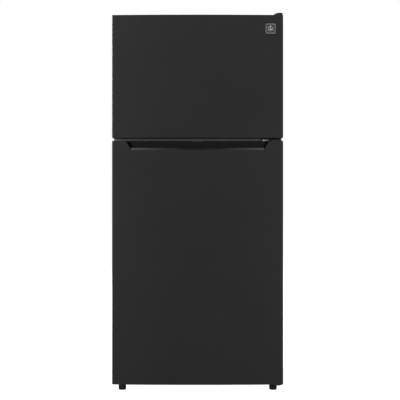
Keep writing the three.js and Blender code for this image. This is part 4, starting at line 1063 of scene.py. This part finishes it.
def add_evaporator():
    """Aluminium fins on a serpentine tube."""
    low, high = box("evaporator_coil")
    bm = bmesh.new()
    for x in spread(low.x + 1, high.x - 1, 49):
        slab(bm, "X", (low.y, high.y, low.z, high.z), x - 0.3, x + 0.3, 2, 0.1, 2)
    for y in (low.y + 13, high.y - 13):
        tube(bm, soften(serpentine(low.x + 5, high.x - 6, y, spread(low.z + 22, high.z - 22, 6)), 12, 4), 4, 12)
    stand_in("evaporator_fins", bm, "aluminium", "evaporator_coil")


def add_drain_pan():
    low, high = box("drain_pan")
    bm = bmesh.new()
    tub(bm, (low.x, high.x, low.y, high.y), low.z, lambda x, y: high.z, 2.2, (14, 14), 4, 3.4)
    stand_in("drain_pan_tub", bm, "matte_black", "drain_pan")


def add_foot(node):
    """A ribbed levelling foot on a threaded stem."""
    low, high = box(node)
    x, y, _ = (low + high) / 2
    radius = (high.x - low.x) / 2
    profile = [(radius - 3.5, 0), (radius - 1.5, 0.5), (radius - 0.9, 2.2), (radius - 0.9, 26.5),
               (radius - 1.8, 28.2), (12, 28.8), (11, 29.8), (5, 29.9)]
    profile += [(4.4 + 0.5 * (i % 2), 30 + 0.75 * i) for i in range(48)]
    bm = bmesh.new()
    lathe(bm, (x, y, 0), (0, 0, 1), [*profile, (4, 66.4), (3.4, 67)])
    edge = radius - 1.1
    for c, s in circle(36):
        tube(bm, [(x + edge * c, y + edge * s, z) for z in (5, 26)], 0.9, 6)
    stand_in(node + "_ribbed", bm, "matte_black", node, 40)


def add_roller(node):
    """A rear roller with a grooved tread and dished sides."""
    low, high = box(node)
    centre = (low + high) / 2
    half, radius = (high.x - low.x) / 2, (high.z - low.z) / 2
    side = [(4.5, half), (8, half), (8.6, half - 1), (9.4, half - 2.6), (14, half - 2.6), (15.2, half - 1),
            (16, half - 0.2), (radius - 1.6, half - 0.2), (radius - 0.4, half - 1.4), (radius, 2.2),
            (radius - 0.7, 1.8), (radius - 0.7, 0.8), (radius, 0.4)]
    wheel = [(r, -h) for r, h in side] + side[::-1]
    bm = bmesh.new()
    loft(bm, [[centre + Vector((h, r * c, r * s)) for c, s in circle(48)] for r, h in [*wheel, wheel[0]]])
    stand_in(node + "_wheel", bm, "matte_black", node, 40)


def add_rear():
    """Beads pressed into the back panel, and the screws that hold it and the machine cover."""
    low, high = box("back_panel")
    cover_low, cover_high = box("machine_cover")
    bottom, top = cover_high.z + 50, high.z - 60
    step = (top - bottom) / 5
    bm = bmesh.new()
    for x0, x1 in ((-290, -60), (60, 290)):
        for row in range(5):
            bead = (x0, x1, bottom + row * step + 12, bottom + (row + 1) * step - 12)
            loft(bm, [upright(grown(bead, -inset), CABINET_BACK + rise, 30, 8)
                      for inset, rise in ((0, -0.5), (0, 0), (2, 0.5), (5, 1.3), (9, 1.8), (13, 1.3), (16, 0.5),
                                          (18, 0), (18, -0.5))])
    piece("back_panel_beads", bm, "zinc_steel", "cabinet", 60)

    bm = bmesh.new()
    spots = [(side * (high.x - 9), z) for side in SIDES for z in (330, 620, 910, 1200, 1450)]
    for x, z in spots + [(x, high.z - 9) for x in (-250, -85, 85, 250)]:
        screw(bm, (x, CABINET_BACK, z), (0, 1, 0), 4.5, 2.6)
    for x in (-360, -180, 0, 180, 360):
        for z in (cover_low.z + 10, cover_high.z - 6):
            screw(bm, (x, cover_low.y + 1.5, z), (0, 1, 0), 4.2, 2)
    piece("rear_screws", bm, "bright_zinc", "cabinet", 30)


def add_machine_room():
    add_fan("evaporator_fan", (0, 1, 0), 14)
    add_fan("condenser_fan", (1, 0, 0), 17)
    add_compressor()
    add_condenser()
    add_evaporator()
    add_drain_pan()
    for side in ("left", "right"):
        add_foot("front_foot_" + side)
        add_roller("rear_roller_" + side)
    add_rear()


def add_rest():
    """Every CAD node that no piece stands for yet keeps its shape."""
    plain = ("black_steel", "zinc_steel", "aluminium", "matte_black", "trim_white", "clear_plastic",
             "shelf_glass")
    for node, made in NODES.items():
        if not made.modifiers and SLOT_OF[node] in plain:
            carry(node, SLOT_OF[node])


add_studio()
add_doors()
add_badge()
add_cabinet()
add_inside()
add_machine_room()
add_rest()
